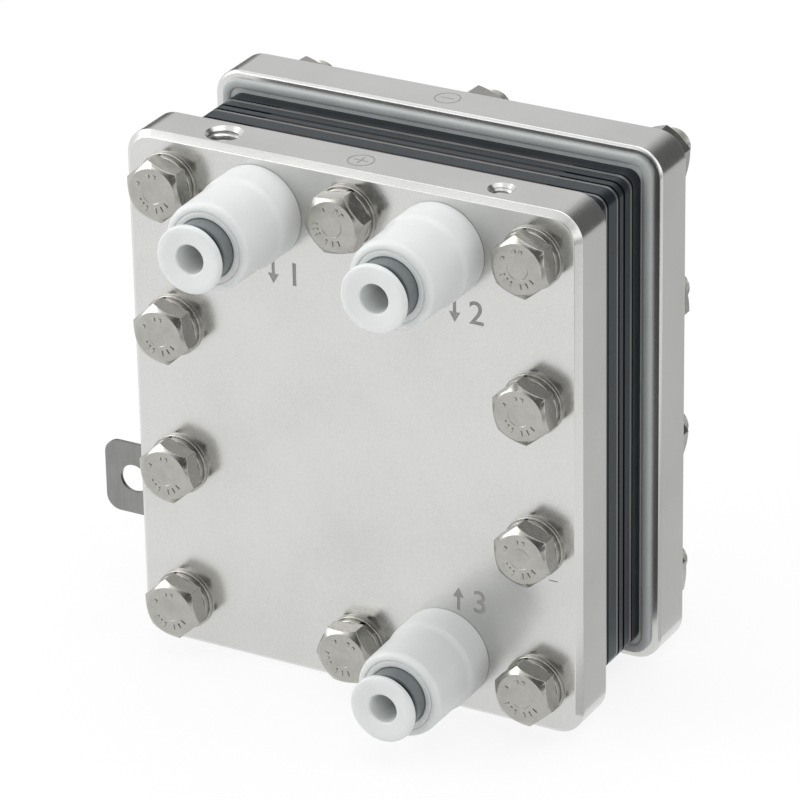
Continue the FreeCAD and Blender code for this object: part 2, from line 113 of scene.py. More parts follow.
class Port(Enum):
    """A tube port: its name, its place on the plates and whether the flow leaves there."""

    OXYGEN = ("oxygen", -22.0, 109.5, True)
    HYDROGEN = ("hydrogen", 22.0, 109.5, True)
    WATER = ("water", 22.0, 13.5, False)

    @property
    def label(self) -> str:
        """The name that its nodes start with."""
        return self.value[0]

    @property
    def place(self) -> Place:
        """Its centre (x, z)."""
        return self.value[1], self.value[2]

    @property
    def flows_out(self) -> bool:
        """Whether the flow leaves the object there."""
        return self.value[3]


@dataclass(frozen=True)
class Finish:
    """One surface finish, built as a node material on Object coordinates.

    The sizes of spots, grain and waves are in millimetres, and so are their heights.
    """

    name: str
    color: Color
    dark_color: Color
    roughness: tuple[float, float]
    metallic: float = 0.0
    spot_mm: float = 12.0
    grain: Grain = Grain.NONE
    grain_mm: float = 0.35
    grain_height_mm: float = 0.01
    wave_mm: float = 6.0
    wave_height_mm: float = 0.0
    specular: float = 0.5
    subsurface: float = 0.0

    def build(self) -> bpy.types.Material:
        """Makes the material.

        Returns:
            The new node material.
        """
        material = bpy.data.materials.new(self.name)
        material.use_nodes = True
        tree = material.node_tree
        shader = tree.nodes["Principled BSDF"]
        shader.inputs["Metallic"].default_value = self.metallic
        shader.inputs["Specular IOR Level"].default_value = self.specular
        shader.inputs["Subsurface Weight"].default_value = self.subsurface
        shader.inputs["Subsurface Radius"].default_value = (0.9, 0.9, 0.9)
        shader.inputs["Subsurface Scale"].default_value = MM
        coords = tree.nodes.new("ShaderNodeTexCoord").outputs["Object"]
        spots = self._noise(tree, coords, self.spot_mm, detail=4.0)
        grain = self._noise(tree, self._stretched(tree, coords), self.grain_mm, detail=3.0)
        mixed = self._average(tree, spots, grain)
        color = self._ramp(tree, mixed)
        tree.links.new(color, shader.inputs["Base Color"])
        tree.links.new(self._spread(tree, mixed, *self.roughness), shader.inputs["Roughness"])
        normal = self._bump(tree, grain, self.grain_height_mm, None)
        if self.wave_height_mm:
            wave = self._noise(tree, coords, self.wave_mm, detail=1.0)
            normal = self._bump(tree, wave, self.wave_height_mm, normal)
        tree.links.new(normal, shader.inputs["Normal"])
        return material

    def _stretched(self, tree: Tree, coords: Socket) -> Socket:
        """Stretches the coordinates so that noise on them becomes lines along the grain."""
        mapping = tree.nodes.new("ShaderNodeMapping")
        mapping.inputs["Scale"].default_value = self.grain.value
        tree.links.new(coords, mapping.inputs["Vector"])
        return mapping.outputs["Vector"]

    def _noise(self, tree: Tree, coords: Socket, size_mm: float, detail: float) -> Socket:
        """Makes noise with features of a given size.

        Args:
            tree: The material's nodes.
            coords: The coordinates that it reads, in metres.
            size_mm: The size of one feature.
            detail: How many finer layers the noise has.

        Returns:
            The noise value, about 0 to 1.
        """
        noise = tree.nodes.new("ShaderNodeTexNoise")
        noise.inputs["Scale"].default_value = 1.0 / (size_mm * MM)
        noise.inputs["Detail"].default_value = detail
        tree.links.new(coords, noise.inputs["Vector"])
        return noise.outputs["Fac"]

    def _average(self, tree: Tree, first: Socket, second: Socket) -> Socket:
        """Averages two noise values."""
        mix = tree.nodes.new("ShaderNodeMix")
        mix.inputs["Factor"].default_value = 0.5
        tree.links.new(first, mix.inputs[2])
        tree.links.new(second, mix.inputs[3])
        return mix.outputs[0]

    def _ramp(self, tree: Tree, value: Socket) -> Socket:
        """Turns a noise value into a colour between the finish's dark and plain colours."""
        ramp = tree.nodes.new("ShaderNodeValToRGB")
        for stop, position, color in zip(ramp.color_ramp.elements, RAMP_RANGE, (self.dark_color, self.color)):
            stop.position = position
            stop.color = (*color, 1.0)
        tree.links.new(value, ramp.inputs["Fac"])
        return ramp.outputs["Color"]

    def _spread(self, tree: Tree, value: Socket, low: float, high: float) -> Socket:
        """Spreads a noise value over a range.

        Args:
            tree: The material's nodes.
            value: The noise value.
            low: The result where the noise is low.
            high: The result where the noise is high.

        Returns:
            The spread value.
        """
        spread = tree.nodes.new("ShaderNodeMapRange")
        spread.inputs["From Min"].default_value, spread.inputs["From Max"].default_value = NOISE_RANGE
        spread.inputs["To Min"].default_value = low
        spread.inputs["To Max"].default_value = high
        tree.links.new(value, spread.inputs["Value"])
        return spread.outputs["Result"]

    def _bump(self, tree: Tree, value: Socket, height_mm: float, under: Socket | None) -> Socket:
        """Adds a bump.

        Args:
            tree: The material's nodes.
            value: The height, 0 to 1.
            height_mm: The height that a value of 1 stands for.
            under: The normal that the bump lies on, if any.

        Returns:
            The bumped normal.
        """
        bump = tree.nodes.new("ShaderNodeBump")
        bump.inputs["Distance"].default_value = height_mm * MM
        tree.links.new(value, bump.inputs["Height"])
        if under is not None:
            tree.links.new(under, bump.inputs["Normal"])
        return bump.outputs["Normal"]


ALUMINIUM = Finish(
    "bead_finished_aluminium", (0.675, 0.675, 0.66), (0.605, 0.605, 0.59), (0.20, 0.28), 1.0,
    spot_mm=25.0, grain_mm=0.25, grain_height_mm=0.004, wave_mm=9.0, wave_height_mm=0.004,
)
ENGRAVING = Finish(
    "engraved_mark", (0.38, 0.38, 0.375), (0.29, 0.29, 0.285), (0.55, 0.70), 0.6,
    spot_mm=1.5, grain_mm=0.10, grain_height_mm=0.02,
)
FINISHES: dict[str, Finish] = {
    "plate_aluminium": ALUMINIUM,
    "titanium": Finish(
        "rolled_titanium", (0.285, 0.284, 0.276), (0.235, 0.234, 0.227), (0.28, 0.42), 1.0,
        spot_mm=8.0, grain=Grain.ALONG_Z, grain_mm=0.22, grain_height_mm=0.006,
    ),
    "mesh_titanium": Finish(
        "sintered_titanium", (0.36, 0.35, 0.33), (0.16, 0.155, 0.15), (0.50, 0.70), 1.0,
        spot_mm=0.5, grain_mm=0.18, grain_height_mm=0.06,
    ),
    "bolt_steel": Finish(
        "tumbled_stainless_steel", (0.46, 0.450, 0.422), (0.385, 0.376, 0.352), (0.17, 0.30), 1.0,
        spot_mm=3.0, grain_mm=0.16, grain_height_mm=0.006, wave_mm=2.4, wave_height_mm=0.010,
    ),
    "insulator_plastic": Finish(
        "milled_black_plastic", (0.033, 0.041, 0.048), (0.024, 0.030, 0.036), (0.30, 0.40), 0.7,
        spot_mm=5.0, grain=Grain.ALONG_Z, grain_mm=0.18, grain_height_mm=0.012, specular=0.6,
    ),
    "pale_sheet_plastic": Finish(
        "pale_sheet", (0.52, 0.54, 0.54), (0.46, 0.48, 0.482), (0.30, 0.42),
        spot_mm=9.0, grain_mm=0.30, grain_height_mm=0.006, subsurface=0.1,
    ),
    "graphite": Finish(
        "pressed_graphite", (0.036, 0.046, 0.054), (0.025, 0.032, 0.038), (0.26, 0.36), 0.7,
        spot_mm=2.0, grain_mm=0.14, grain_height_mm=0.012, specular=0.55,
    ),
    "anode_frame_plastic": Finish(
        "moulded_grey_plastic", (0.042, 0.052, 0.060), (0.031, 0.039, 0.046), (0.28, 0.38), 0.7,
        spot_mm=5.0, grain_mm=0.20, grain_height_mm=0.010, specular=0.55,
    ),
    "cathode_frame_plastic": Finish(
        "moulded_slate_plastic", (0.033, 0.042, 0.050), (0.025, 0.033, 0.040), (0.28, 0.38), 0.7,
        spot_mm=5.0, grain_mm=0.20, grain_height_mm=0.010, specular=0.55,
    ),
    "gasket_rubber": Finish(
        "pressed_black_rubber", (0.012, 0.012, 0.013), (0.008, 0.008, 0.009), (0.62, 0.78),
        spot_mm=3.0, grain_mm=0.20, grain_height_mm=0.020, specular=0.35,
    ),
    "membrane_film": Finish(
        "polymer_film", (0.55, 0.48, 0.34), (0.46, 0.39, 0.27), (0.25, 0.35),
        spot_mm=6.0, grain_mm=0.30, grain_height_mm=0.004,
    ),
    "sleeve_plastic": Finish(
        "natural_plastic", (0.62, 0.61, 0.57), (0.52, 0.51, 0.48), (0.40, 0.50),
        spot_mm=4.0, grain_mm=0.25, grain_height_mm=0.008,
    ),
    "fitting_plastic": Finish(
        "moulded_white_plastic", (0.85, 0.87, 0.865), (0.81, 0.832, 0.828), (0.30, 0.40),
        spot_mm=7.0, grain_mm=0.30, grain_height_mm=0.010, specular=0.40, subsurface=0.35,
    ),
    "guide_ring_plastic": Finish(
        "moulded_dark_ring", (0.195, 0.212, 0.220), (0.155, 0.172, 0.180), (0.30, 0.40),
        spot_mm=4.0, grain_mm=0.22, grain_height_mm=0.008,
    ),
    "collet_plastic": Finish(
        "moulded_collet", (0.085, 0.095, 0.100), (0.064, 0.072, 0.076), (0.32, 0.44),
        spot_mm=3.0, grain_mm=0.20, grain_height_mm=0.008,
    ),
}


class Dresser:
    """Holds the built materials and puts them on pieces and CAD nodes."""

    def __init__(self) -> None:
        """Builds every finish once."""
        self.materials = {slot: finish.build() for slot, finish in FINISHES.items()}
        self.engraving = ENGRAVING.build()

    def paint(self, piece: Piece, slot: str) -> None:
        """Gives a piece or a CAD node the one material of a slot."""
        piece.data.materials.clear()
        piece.data.materials.append(self.materials[slot])

    def paint_nodes(self) -> None:
        """Gives every CAD node the material of its slot."""
        for part in frame["record"]["subparts"]:
            self.paint(frame["nodes"][part["node"]], part["material_slot"])

    def hand_in(self, piece: Piece, *nodes: str, body: str = FIXED_BODY) -> None:
        """Says which CAD nodes a finished piece stands for and which body it rides on.

        Args:
            piece: The finished piece, already painted.
            *nodes: The nodes that it replaces.
            body: The body that it moves with.
        """
        smooth(piece)
        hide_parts(*nodes)
        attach(piece, body)
        log.info("%s: %d faces, stands for %s", piece.name, len(piece.data.polygons), ", ".join(nodes))


def mm(x: float, y: float, z: float) -> Vector:
    """Gives a point in metres from millimetres."""
    return Vector((x, y, z)) * MM


def select_only(*pieces: Piece) -> None:
    """Selects these objects and nothing else, and makes the first one active."""
    bpy.ops.object.select_all(action="DESELECT")
    for piece in pieces:
        piece.select_set(True)
    bpy.context.view_layer.objects.active = pieces[0]


@contextmanager
def editing(piece: Piece) -> Iterator[None]:
    """Opens a piece in edit mode and closes it again."""
    select_only(piece)
    bpy.ops.object.mode_set(mode="EDIT")
    yield
    bpy.ops.object.mode_set(mode="OBJECT")


def pick(piece: Piece, element: Element, wanted: Callable[[object], bool]) -> None:
    """Selects the edges or faces of the piece in edit mode that pass a test.

    Args:
        piece: The piece in edit mode.
        element: What is picked.
        wanted: The test on one edge or face.
    """
    bpy.ops.mesh.select_mode(type=element.value)
    bpy.ops.mesh.select_all(action="DESELECT")
    mesh = bmesh.from_edit_mesh(piece.data)
    for part in mesh.edges if element is Element.EDGE else mesh.faces:
        if wanted(part):
            part.select_set(True)
    bmesh.update_edit_mesh(piece.data)


def apply_place(piece: Piece) -> None:
    """Moves the object's place, turn and scale into its mesh."""
    select_only(piece)
    bpy.ops.object.transform_apply(location=True, rotation=True, scale=True)


def apply_modifier(piece: Piece, kind: str, **settings: object) -> None:
    """Adds a modifier with these settings and applies it.

    Args:
        piece: The piece.
        kind: The modifier's type.
        **settings: The modifier's settings.
    """
    select_only(piece)
    bpy.ops.object.modifier_add(type=kind)
    modifier = piece.modifiers[-1]
    for name, value in settings.items():
        setattr(modifier, name, value)
    bpy.ops.object.modifier_apply(modifier=modifier.name)


def smooth(piece: Piece, angle_deg: float = 32.0) -> None:
    """Shades a piece smooth except at its sharp edges, with the large faces kept flat."""
    select_only(piece)
    bpy.ops.object.shade_smooth_by_angle(angle=math.radians(angle_deg))
    apply_modifier(piece, "WEIGHTED_NORMAL", keep_sharp=True, weight=50)


def soften(piece: Piece, width: float, steps: int = 2, angle_deg: float = 20.0) -> None:
    """Rounds every edge that is sharper than an angle."""
    apply_modifier(
        piece, "BEVEL", width=width * MM, segments=steps, limit_method="ANGLE",
        angle_limit=math.radians(angle_deg), use_clamp_overlap=True,
    )


def joined(name: str, pieces: list[Piece]) -> Piece:
    """Joins pieces into one object with its place in its mesh."""
    select_only(*pieces)
    if len(pieces) > 1:
        bpy.ops.object.join()
    piece = bpy.context.active_object
    piece.name = name
    apply_place(piece)
    return piece


def cut(piece: Piece, cutter: Piece, how: Cut = Cut.AWAY, keep_color: bool = False) -> None:
    """Cuts a piece with a cutter, or joins or intersects them, and removes the cutter.

    Args:
        piece: The piece that is changed.
        cutter: The other piece.
        how: What becomes of the space that they share.
        keep_color: Whether the new faces keep the cutter's material.
    """
    apply_modifier(
        piece, "BOOLEAN", object=cutter, operation=how.value, solver="EXACT",
        material_mode="TRANSFER" if keep_color else "INDEX",
    )
    bpy.data.objects.remove(cutter)


def copy_of(piece: Piece, name: str, place: Vector, turn_deg: float = 0.0) -> Piece:
    """Copies a piece with its own mesh, turned about Y and moved.

    Args:
        piece: The piece that is copied.
        name: The copy's name.
        place: How far the copy is moved, in metres.
        turn_deg: How far it is turned, from +X towards +Z.

    Returns:
        The copy, with its place in its mesh.
    """
    select_only(piece)
    bpy.ops.object.duplicate(linked=False)
    twin = bpy.context.active_object
    twin.name = name
    twin.location = place
    twin.rotation_euler = (0.0, -math.radians(turn_deg), 0.0)
    apply_place(twin)
    return twin


def added(name: str, operator: Callable[..., object], **settings: object) -> Piece:
    """Adds a primitive and moves its place into its mesh.

    Args:
        name: The piece's name.
        operator: The operator that adds it.
        **settings: The operator's settings.

    Returns:
        The piece.
    """
    bpy.ops.object.select_all(action="DESELECT")
    operator(**settings)
    piece = bpy.context.active_object
    piece.name = name
    apply_place(piece)
    return piece


def box(name: str, low: Vector, high: Vector) -> Piece:
    """Adds a box between two corners, in metres."""
    return added(name, bpy.ops.mesh.primitive_cube_add, size=1.0, location=(low + high) / 2, scale=high - low)


def weld() -> None:
    """Merges the vertices that lie on each other, in the whole mesh that is in edit mode."""
    bpy.ops.mesh.select_all(action="SELECT")
    bpy.ops.mesh.remove_doubles(threshold=WELD)
    bpy.ops.mesh.select_all(action="SELECT")


def rods(places: list[Place], diameter: float, y: float, length: float, steps: int = BORE_STEPS) -> Piece:
    """Adds a round rod along Y at each place, joined to one cutter.

    Args:
        places: The centres (x, z).
        diameter: The rods' diameter.
        y: Where they start.
        length: How long they are.
        steps: How many sides they have.

    Returns:
        The cutter.
    """
    return joined("rods", [
        added("rod", bpy.ops.mesh.primitive_cylinder_add, vertices=steps, radius=diameter / 2 * MM,
              depth=length * MM, location=mm(x, y + length / 2, z), rotation=(math.pi / 2, 0.0, 0.0))
        for x, z in places
    ])


def chain(name: str, points: list[Place]) -> Piece:
    """Draws a line of points (radius, height) in the XY plane by extruding a vertex, height along +Y.

    Args:
        name: The piece's name.
        points: The points.

    Returns:
        The piece, with one edge between each pair of points.
    """
    bpy.ops.object.select_all(action="DESELECT")
    bpy.ops.mesh.primitive_circle_add(vertices=3, radius=MM, location=(0.0, 0.0, 0.0))
    piece = bpy.context.active_object
    piece.name = name
    with editing(piece):
        bpy.ops.mesh.select_mode(type="VERT")
        bpy.ops.mesh.select_all(action="SELECT")
        bpy.ops.mesh.merge(type="CENTER")
        bpy.ops.transform.translate(value=mm(*points[0], 0.0))
        for start, end in zip(points, points[1:]):
            step = mm(end[0] - start[0], end[1] - start[1], 0.0)
            bpy.ops.mesh.extrude_region_move(TRANSFORM_OT_translate={"value": step})
    return piece


def rounded(corners: list[Corner], arc_steps: int = 5) -> list[Place]:
    """Rounds the corners of a closed outline.

    Args:
        corners: The corners (radius, height, rounding) in order.
        arc_steps: How many edges an arc gets.

    Returns:
        The outline's points (radius, height), with an arc at each rounded corner.
    """
    points: list[Place] = []
    for index, (radius, height, rounding) in enumerate(corners):
        here = Vector((radius, height))
        before = (Vector(corners[index - 1][:2]) - here).normalized()
        after = (Vector(corners[(index + 1) % len(corners)][:2]) - here).normalized()
        half = before.angle(after) / 2
        if rounding == 0.0 or half > math.radians(89.0):
            points.append((radius, height))
            continue
        centre = here + (before + after).normalized() * rounding / math.sin(half)
        first = here + before * rounding / math.tan(half) - centre
        last = here + after * rounding / math.tan(half) - centre
        sweep = first.angle_signed(last)
        for step in range(arc_steps + 1):
            angle = -sweep * step / arc_steps
            cosine, sine = math.cos(angle), math.sin(angle)
            points.append((
                centre.x + first.x * cosine - first.y * sine,
                centre.y + first.x * sine + first.y * cosine,
            ))
    return points


def turned(name: str, corners: list[Corner], steps: int = TURNED_STEPS, gap_deg: float = 0.0) -> Piece:
    """Turns a closed outline about the Y axis.

    Args:
        name: The piece's name.
        corners: The outline's corners (radius, height, rounding), height along +Y. An outline that starts
            and ends on the axis is left open there.
        steps: How many sides the turned piece has.
        gap_deg: The angle that is left open, from +X on.

    Returns:
        The closed piece.
    """
    points = rounded(corners)
    on_axis = points[0][0] == points[-1][0] == 0.0
    piece = chain(name, points if on_axis else points + points[:1])
    with editing(piece):
        weld()
        bpy.ops.mesh.spin(
            steps=steps, angle=math.radians(360.0 - gap_deg), center=(0.0, 0.0, 0.0), axis=(0.0, 1.0, 0.0)
        )
        weld()
        if gap_deg:
            bpy.ops.mesh.fill_holes(sides=0)
        bpy.ops.mesh.select_all(action="SELECT")
        bpy.ops.mesh.normals_make_consistent(inside=False)
    return piece


def threaded_rod(name: str, crest: float, root: float, pitch: float, length: float, steps: int = 36) -> Piece:
    """Models a threaded rod along +Y from the origin.

    Args:
        name: The piece's name.
        crest: The radius at the thread's crests.
        root: The radius at its roots.
        pitch: The height of one turn.
        length: The rod's length.
        steps: How many steps one turn has.

    Returns:
        The closed rod.
    """
    one_turn = [(crest, 0.0), (crest, THREAD_CREST_END * pitch), (root, THREAD_ROOT_START * pitch),
                (root, THREAD_ROOT_END * pitch), (crest, pitch)]
    piece = chain(name, one_turn)
    turns = math.ceil(length / pitch) + 3
    apply_modifier(
        piece, "SCREW", axis="Y", angle=math.tau, screw_offset=pitch * MM, iterations=turns,
        steps=steps, render_steps=steps,
    )
    with editing(piece):
        weld()
        bpy.ops.transform.translate(value=(0.0, -1.5 * pitch * MM, 0.0))
        for height, outward in ((0.0, -1.0), (length * MM, 1.0)):
            bpy.ops.mesh.select_all(action="SELECT")
            bpy.ops.mesh.bisect(
                plane_co=(0.0, height, 0.0), plane_no=(0.0, outward, 0.0), use_fill=True,
                clear_outer=True, threshold=WELD,
            )
        bpy.ops.mesh.select_all(action="SELECT")
        bpy.ops.mesh.normals_make_consistent(inside=False)
    return piece


def bore_through(piece: Piece, places: list[Place], diameter: float, y: float, thickness: float) -> None:
    """Cuts a round hole right through a piece at each place.

    Args:
        piece: The piece.
        places: The centres (x, z).
        diameter: The holes' diameter.
        y: Where the piece's front face is.
        thickness: How thick it is.
    """
    cut(piece, rods(places, diameter, y - OVER, thickness + 2 * OVER))


@dataclass(frozen=True)
class Slab:
    """A slab with rounded corners, centred on the plates unless its centre is given."""

    width: float
    height: float
    radius: float
    y: float
    thickness: float
    front_edge: float = 0.12
    back_edge: float = 0.12
    edge_steps: int = 2
    corner_steps: int = 10
    centre: Place = (0.0, MID_HEIGHT)

    def build(self, name: str) -> Piece:
        """Models the slab from a box.

        Args:
            name: The piece's name.

        Returns:
            The slab.
        """
        x, z = self.centre
        low = mm(x - self.width / 2, self.y, z - self.height / 2)
        high = mm(x + self.width / 2, self.y + self.thickness, z + self.height / 2)
        piece = box(name, low, high)
        with editing(piece):
            pick(piece, Element.EDGE, self._runs_through)
            bpy.ops.mesh.bevel(offset=self.radius * MM, segments=self.corner_steps, affect="EDGES")
            for y, size in ((self.y, self.front_edge), (self.y + self.thickness, self.back_edge)):
                if size:
                    pick(piece, Element.EDGE, lambda edge, y=y: self._lies_at(edge, y))
                    bpy.ops.mesh.bevel(offset=size * MM, segments=self.edge_steps, affect="EDGES")
        return piece

    def _runs_through(self, edge: bmesh.types.BMEdge) -> bool:
        """Tells whether an edge runs along Y."""
        return abs(edge.verts[0].co.y - edge.verts[1].co.y) > self.thickness * MM / 2

    def _lies_at(self, edge: bmesh.types.BMEdge, y: float) -> bool:
        """Tells whether an edge lies in the plane at y."""
        return all(abs(vertex.co.y - y * MM) < WELD for vertex in edge.verts)


@dataclass(frozen=True)
class BoltPattern:
    """Where the ten bolts stand."""

    side_x: float = 44.0
    side_low: float = 11.0
    rows: int = 4
    middle_low: float = 10.1

    def places(self) -> list[Place]:
        """Gives the centres (x, z): both side columns from the top down, then low and high middle."""
        high = 2 * MID_HEIGHT - self.side_low
        pitch = (high - self.side_low) / (self.rows - 1)
        sides = [(side * self.side_x, high - pitch * row) for side in (-1, 1) for row in range(self.rows)]
        return sides + [(0.0, self.middle_low), (0.0, 2 * MID_HEIGHT - self.middle_low)]


@dataclass(frozen=True)
class TappedHole:
    """A countersunk tapped hole that goes down into the front plate's top."""

    x: float
    core_radius: float
    crest_radius: float
    pitch: float
    depth: float
    sink: float = 1.0
    top: float = 2 * MID_HEIGHT
    over: float = 0.4

    def cut_into(self, plate: Piece) -> None:
        """Cuts the thread and then its countersink."""
        length = self.depth + self.over
        thread = threaded_rod("thread", self.crest_radius, self.core_radius, self.pitch, length)
        thread.location = mm(self.x, 0.0, self.top + self.over)
        thread.rotation_euler = (-math.pi / 2, 0.0, 0.0)
        apply_place(thread)
        cut(plate, thread)
        cone_height = self.sink + self.over
        cut(plate, added(
            "cone", bpy.ops.mesh.primitive_cone_add, vertices=BORE_STEPS, radius1=self.core_radius * MM,
            radius2=(self.core_radius + cone_height) * MM, depth=cone_height * MM,
            location=mm(self.x, 0.0, self.top + (self.over - self.sink) / 2),
        ))


@dataclass
class EndPlates:
    """The two thick end plates with their chamfers, tapped holes and engraved signs."""

    width: float = 110.0
    height: float = 123.0
    thickness: float = 12.7
    corner_radius: float = 6.6
    outer_chamfer: float = 1.4
    inner_chamfer: float = 0.75
    back_inner_chamfer: float = 0.55
    edge_rounding: float = 0.14
    corner_steps: int = 14
    back_plate_y: float = 32.15
    bolt_hole: float = 8.7
    socket_hole: float = 13.2
    socket_depth: float = 9.6
    port_hole: float = 6.0
    engraving_depth: float = 0.07
    sign_radius: float = 3.0
    sign_line: float = 0.28
    sign_bar: float = 3.4
    digit_size: float = 7.6
    digit_weight: float = 0.06
    digit_shift: float = 8.6
    arrow_shift: float = 3.4
    arrow_half_shaft: float = 0.375
    arrow_tail: float = 2.75
    arrow_neck: float = 0.5
    arrow_tip_centre: float = 1.1875
    arrow_tip_radius: float = 1.5625
    label_drop: float = 13.4
    label_rise: float = 14.0
    scratch: tuple[Place, Place] = ((47.4, 37.18), (49.5, 37.40))
    tapped_holes: tuple[TappedHole, ...] = (
        TappedHole(-33.5, 3.3, 3.95, 1.41, 20.0),
        TappedHole(33.5, 2.05, 2.41, 1.06, 13.0),
    )

    def build(self, dresser: Dresser) -> None:
        """Makes both plates."""
        front = self._plate("front_plate", FRONT_FACE_Y, self.outer_chamfer, self.inner_chamfer)
        ports = [port.place for port in Port]
        cut(front, rods(ports, self.socket_hole, FRONT_FACE_Y - OVER, self.socket_depth + OVER))
        cut(front, rods(ports, self.port_hole, FRONT_FACE_Y, self.thickness + OVER))
        for hole in self.tapped_holes:
            hole.cut_into(front)
        dresser.paint(front, "plate_aluminium")
        self._sign(front, dresser, FRONT_FACE_Y + self.thickness / 2, plus=True)
        for number, port in enumerate(Port, start=1):
            self._label(front, dresser, port, str(number))
        self._engrave_box(front, dresser, *self.scratch)
        dresser.hand_in(front, "front_end_plate")
        back = self._plate("back_plate", self.back_plate_y, self.back_inner_chamfer, self.outer_chamfer)
        dresser.paint(back, "plate_aluminium")
        self._sign(back, dresser, self.back_plate_y + self.thickness / 2, plus=False)
        dresser.hand_in(back, "back_end_plate")

    def _plate(self, name: str, y: float, front_edge: float, back_edge: float) -> Piece:
        """Models a plate with its chamfers, softened edges and bolt holes.

        Args:
            name: The piece's name.
            y: Where its front face is.
            front_edge: The chamfer round its front face.
            back_edge: The chamfer round its back face.

        Returns:
            The plate.
        """
        slab = Slab(self.width, self.height, self.corner_radius, y, self.thickness, front_edge, back_edge,
                    edge_steps=1, corner_steps=self.corner_steps)
        plate = slab.build(name)
        soften(plate, self.edge_rounding)
        bore_through(plate, BoltPattern().places(), self.bolt_hole, y, self.thickness)
        return plate

    def _engrave(self, plate: Piece, cutter: Piece, dresser: Dresser) -> None:
        """Cuts a shallow mark whose floor keeps the engraving's finish."""
        cutter.data.materials.clear()
        cutter.data.materials.append(dresser.engraving)
        cut(plate, cutter, keep_color=True)

    def _engrave_box(self, plate: Piece, dresser: Dresser, low: Place, high: Place) -> None:
        """Engraves an upright rectangle between two corners (x, z) of the front face."""
        deep = self.engraving_depth
        corners = mm(low[0], FRONT_FACE_Y - deep, low[1]), mm(high[0], FRONT_FACE_Y + deep, high[1])
        self._engrave(plate, box("bar", *corners), dresser)

    def _sign(self, plate: Piece, dresser: Dresser, y: float, plus: bool) -> None:
        """Engraves the circled plus or minus on a plate's top.

        Args:
            plate: The plate.
            dresser: The finishes.
            y: Where the sign's middle is.
            plus: Whether it is a plus.
        """
        deep, line = self.engraving_depth, self.sign_line
        outer, inner = self.sign_radius, self.sign_radius - line
        corners = [(inner, -deep, 0.0), (outer, -deep, 0.0), (outer, deep, 0.0), (inner, deep, 0.0)]
        circle = turned("sign", corners)
        circle.rotation_euler = (math.pi / 2, 0.0, 0.0)
        circle.location = mm(0.0, y, self.height)
        apply_place(circle)
        self._engrave(plate, circle, dresser)
        reach = self.sign_bar / 2
        bars = [(reach, line / 2)] + ([(line / 2, reach)] if plus else [])
        for half_x, half_y in bars:
            low = mm(-half_x, y - half_y, self.height - deep)
            high = mm(half_x, y + half_y, self.height + deep)
            self._engrave(plate, box("bar", low, high), dresser)

    def _label(self, plate: Piece, dresser: Dresser, port: Port, digit: str) -> None:
        """Engraves a port's number and an arrow for its flow.

        Args:
            plate: The front plate.
            dresser: The finishes.
            port: The port.
            digit: Its number.
        """
        x, z = port.place
        z += -self.label_drop if port.flows_out else self.label_rise
        bpy.ops.object.select_all(action="DESELECT")
        place = mm(x + self.digit_shift, FRONT_FACE_Y, z)
        bpy.ops.object.text_add(location=place, rotation=(math.pi / 2, 0.0, 0.0))
        text = bpy.context.active_object
        text.data.body = digit
        text.data.align_x = "CENTER"
        text.data.align_y = "CENTER"
        text.data.size = self.digit_size * MM
        text.data.extrude = self.engraving_depth * MM
        text.data.offset = self.digit_weight * MM
        bpy.ops.object.convert(target="MESH")
        text = bpy.context.active_object
        apply_place(text)
        with editing(text):
            weld()
        self._engrave(plate, text, dresser)
        self._arrow(plate, dresser, (x + self.arrow_shift, z), upward=not port.flows_out)

    def _arrow(self, plate: Piece, dresser: Dresser, centre: Place, upward: bool) -> None:
        """Engraves a vertical arrow on the front face.

        Args:
            plate: The front plate.
            dresser: The finishes.
            centre: The arrow's middle (x, z).
            upward: Whether it points up.
        """
        x, z = centre
        way = 1 if upward else -1
        low_z, high_z = sorted((z - self.arrow_tail * way, z + self.arrow_neck * way))
        half = self.arrow_half_shaft
        self._engrave_box(plate, dresser, (x - half, low_z), (x + half, high_z))
        tip = added(
            "tip", bpy.ops.mesh.primitive_cylinder_add, vertices=3, radius=self.arrow_tip_radius * MM,
            depth=2 * self.engraving_depth * MM,
            location=mm(x, FRONT_FACE_Y, z + self.arrow_tip_centre * way),
            rotation=(math.pi / 2, 0.0 if upward else math.pi, 0.0),
        )
        self._engrave(plate, tip, dresser)


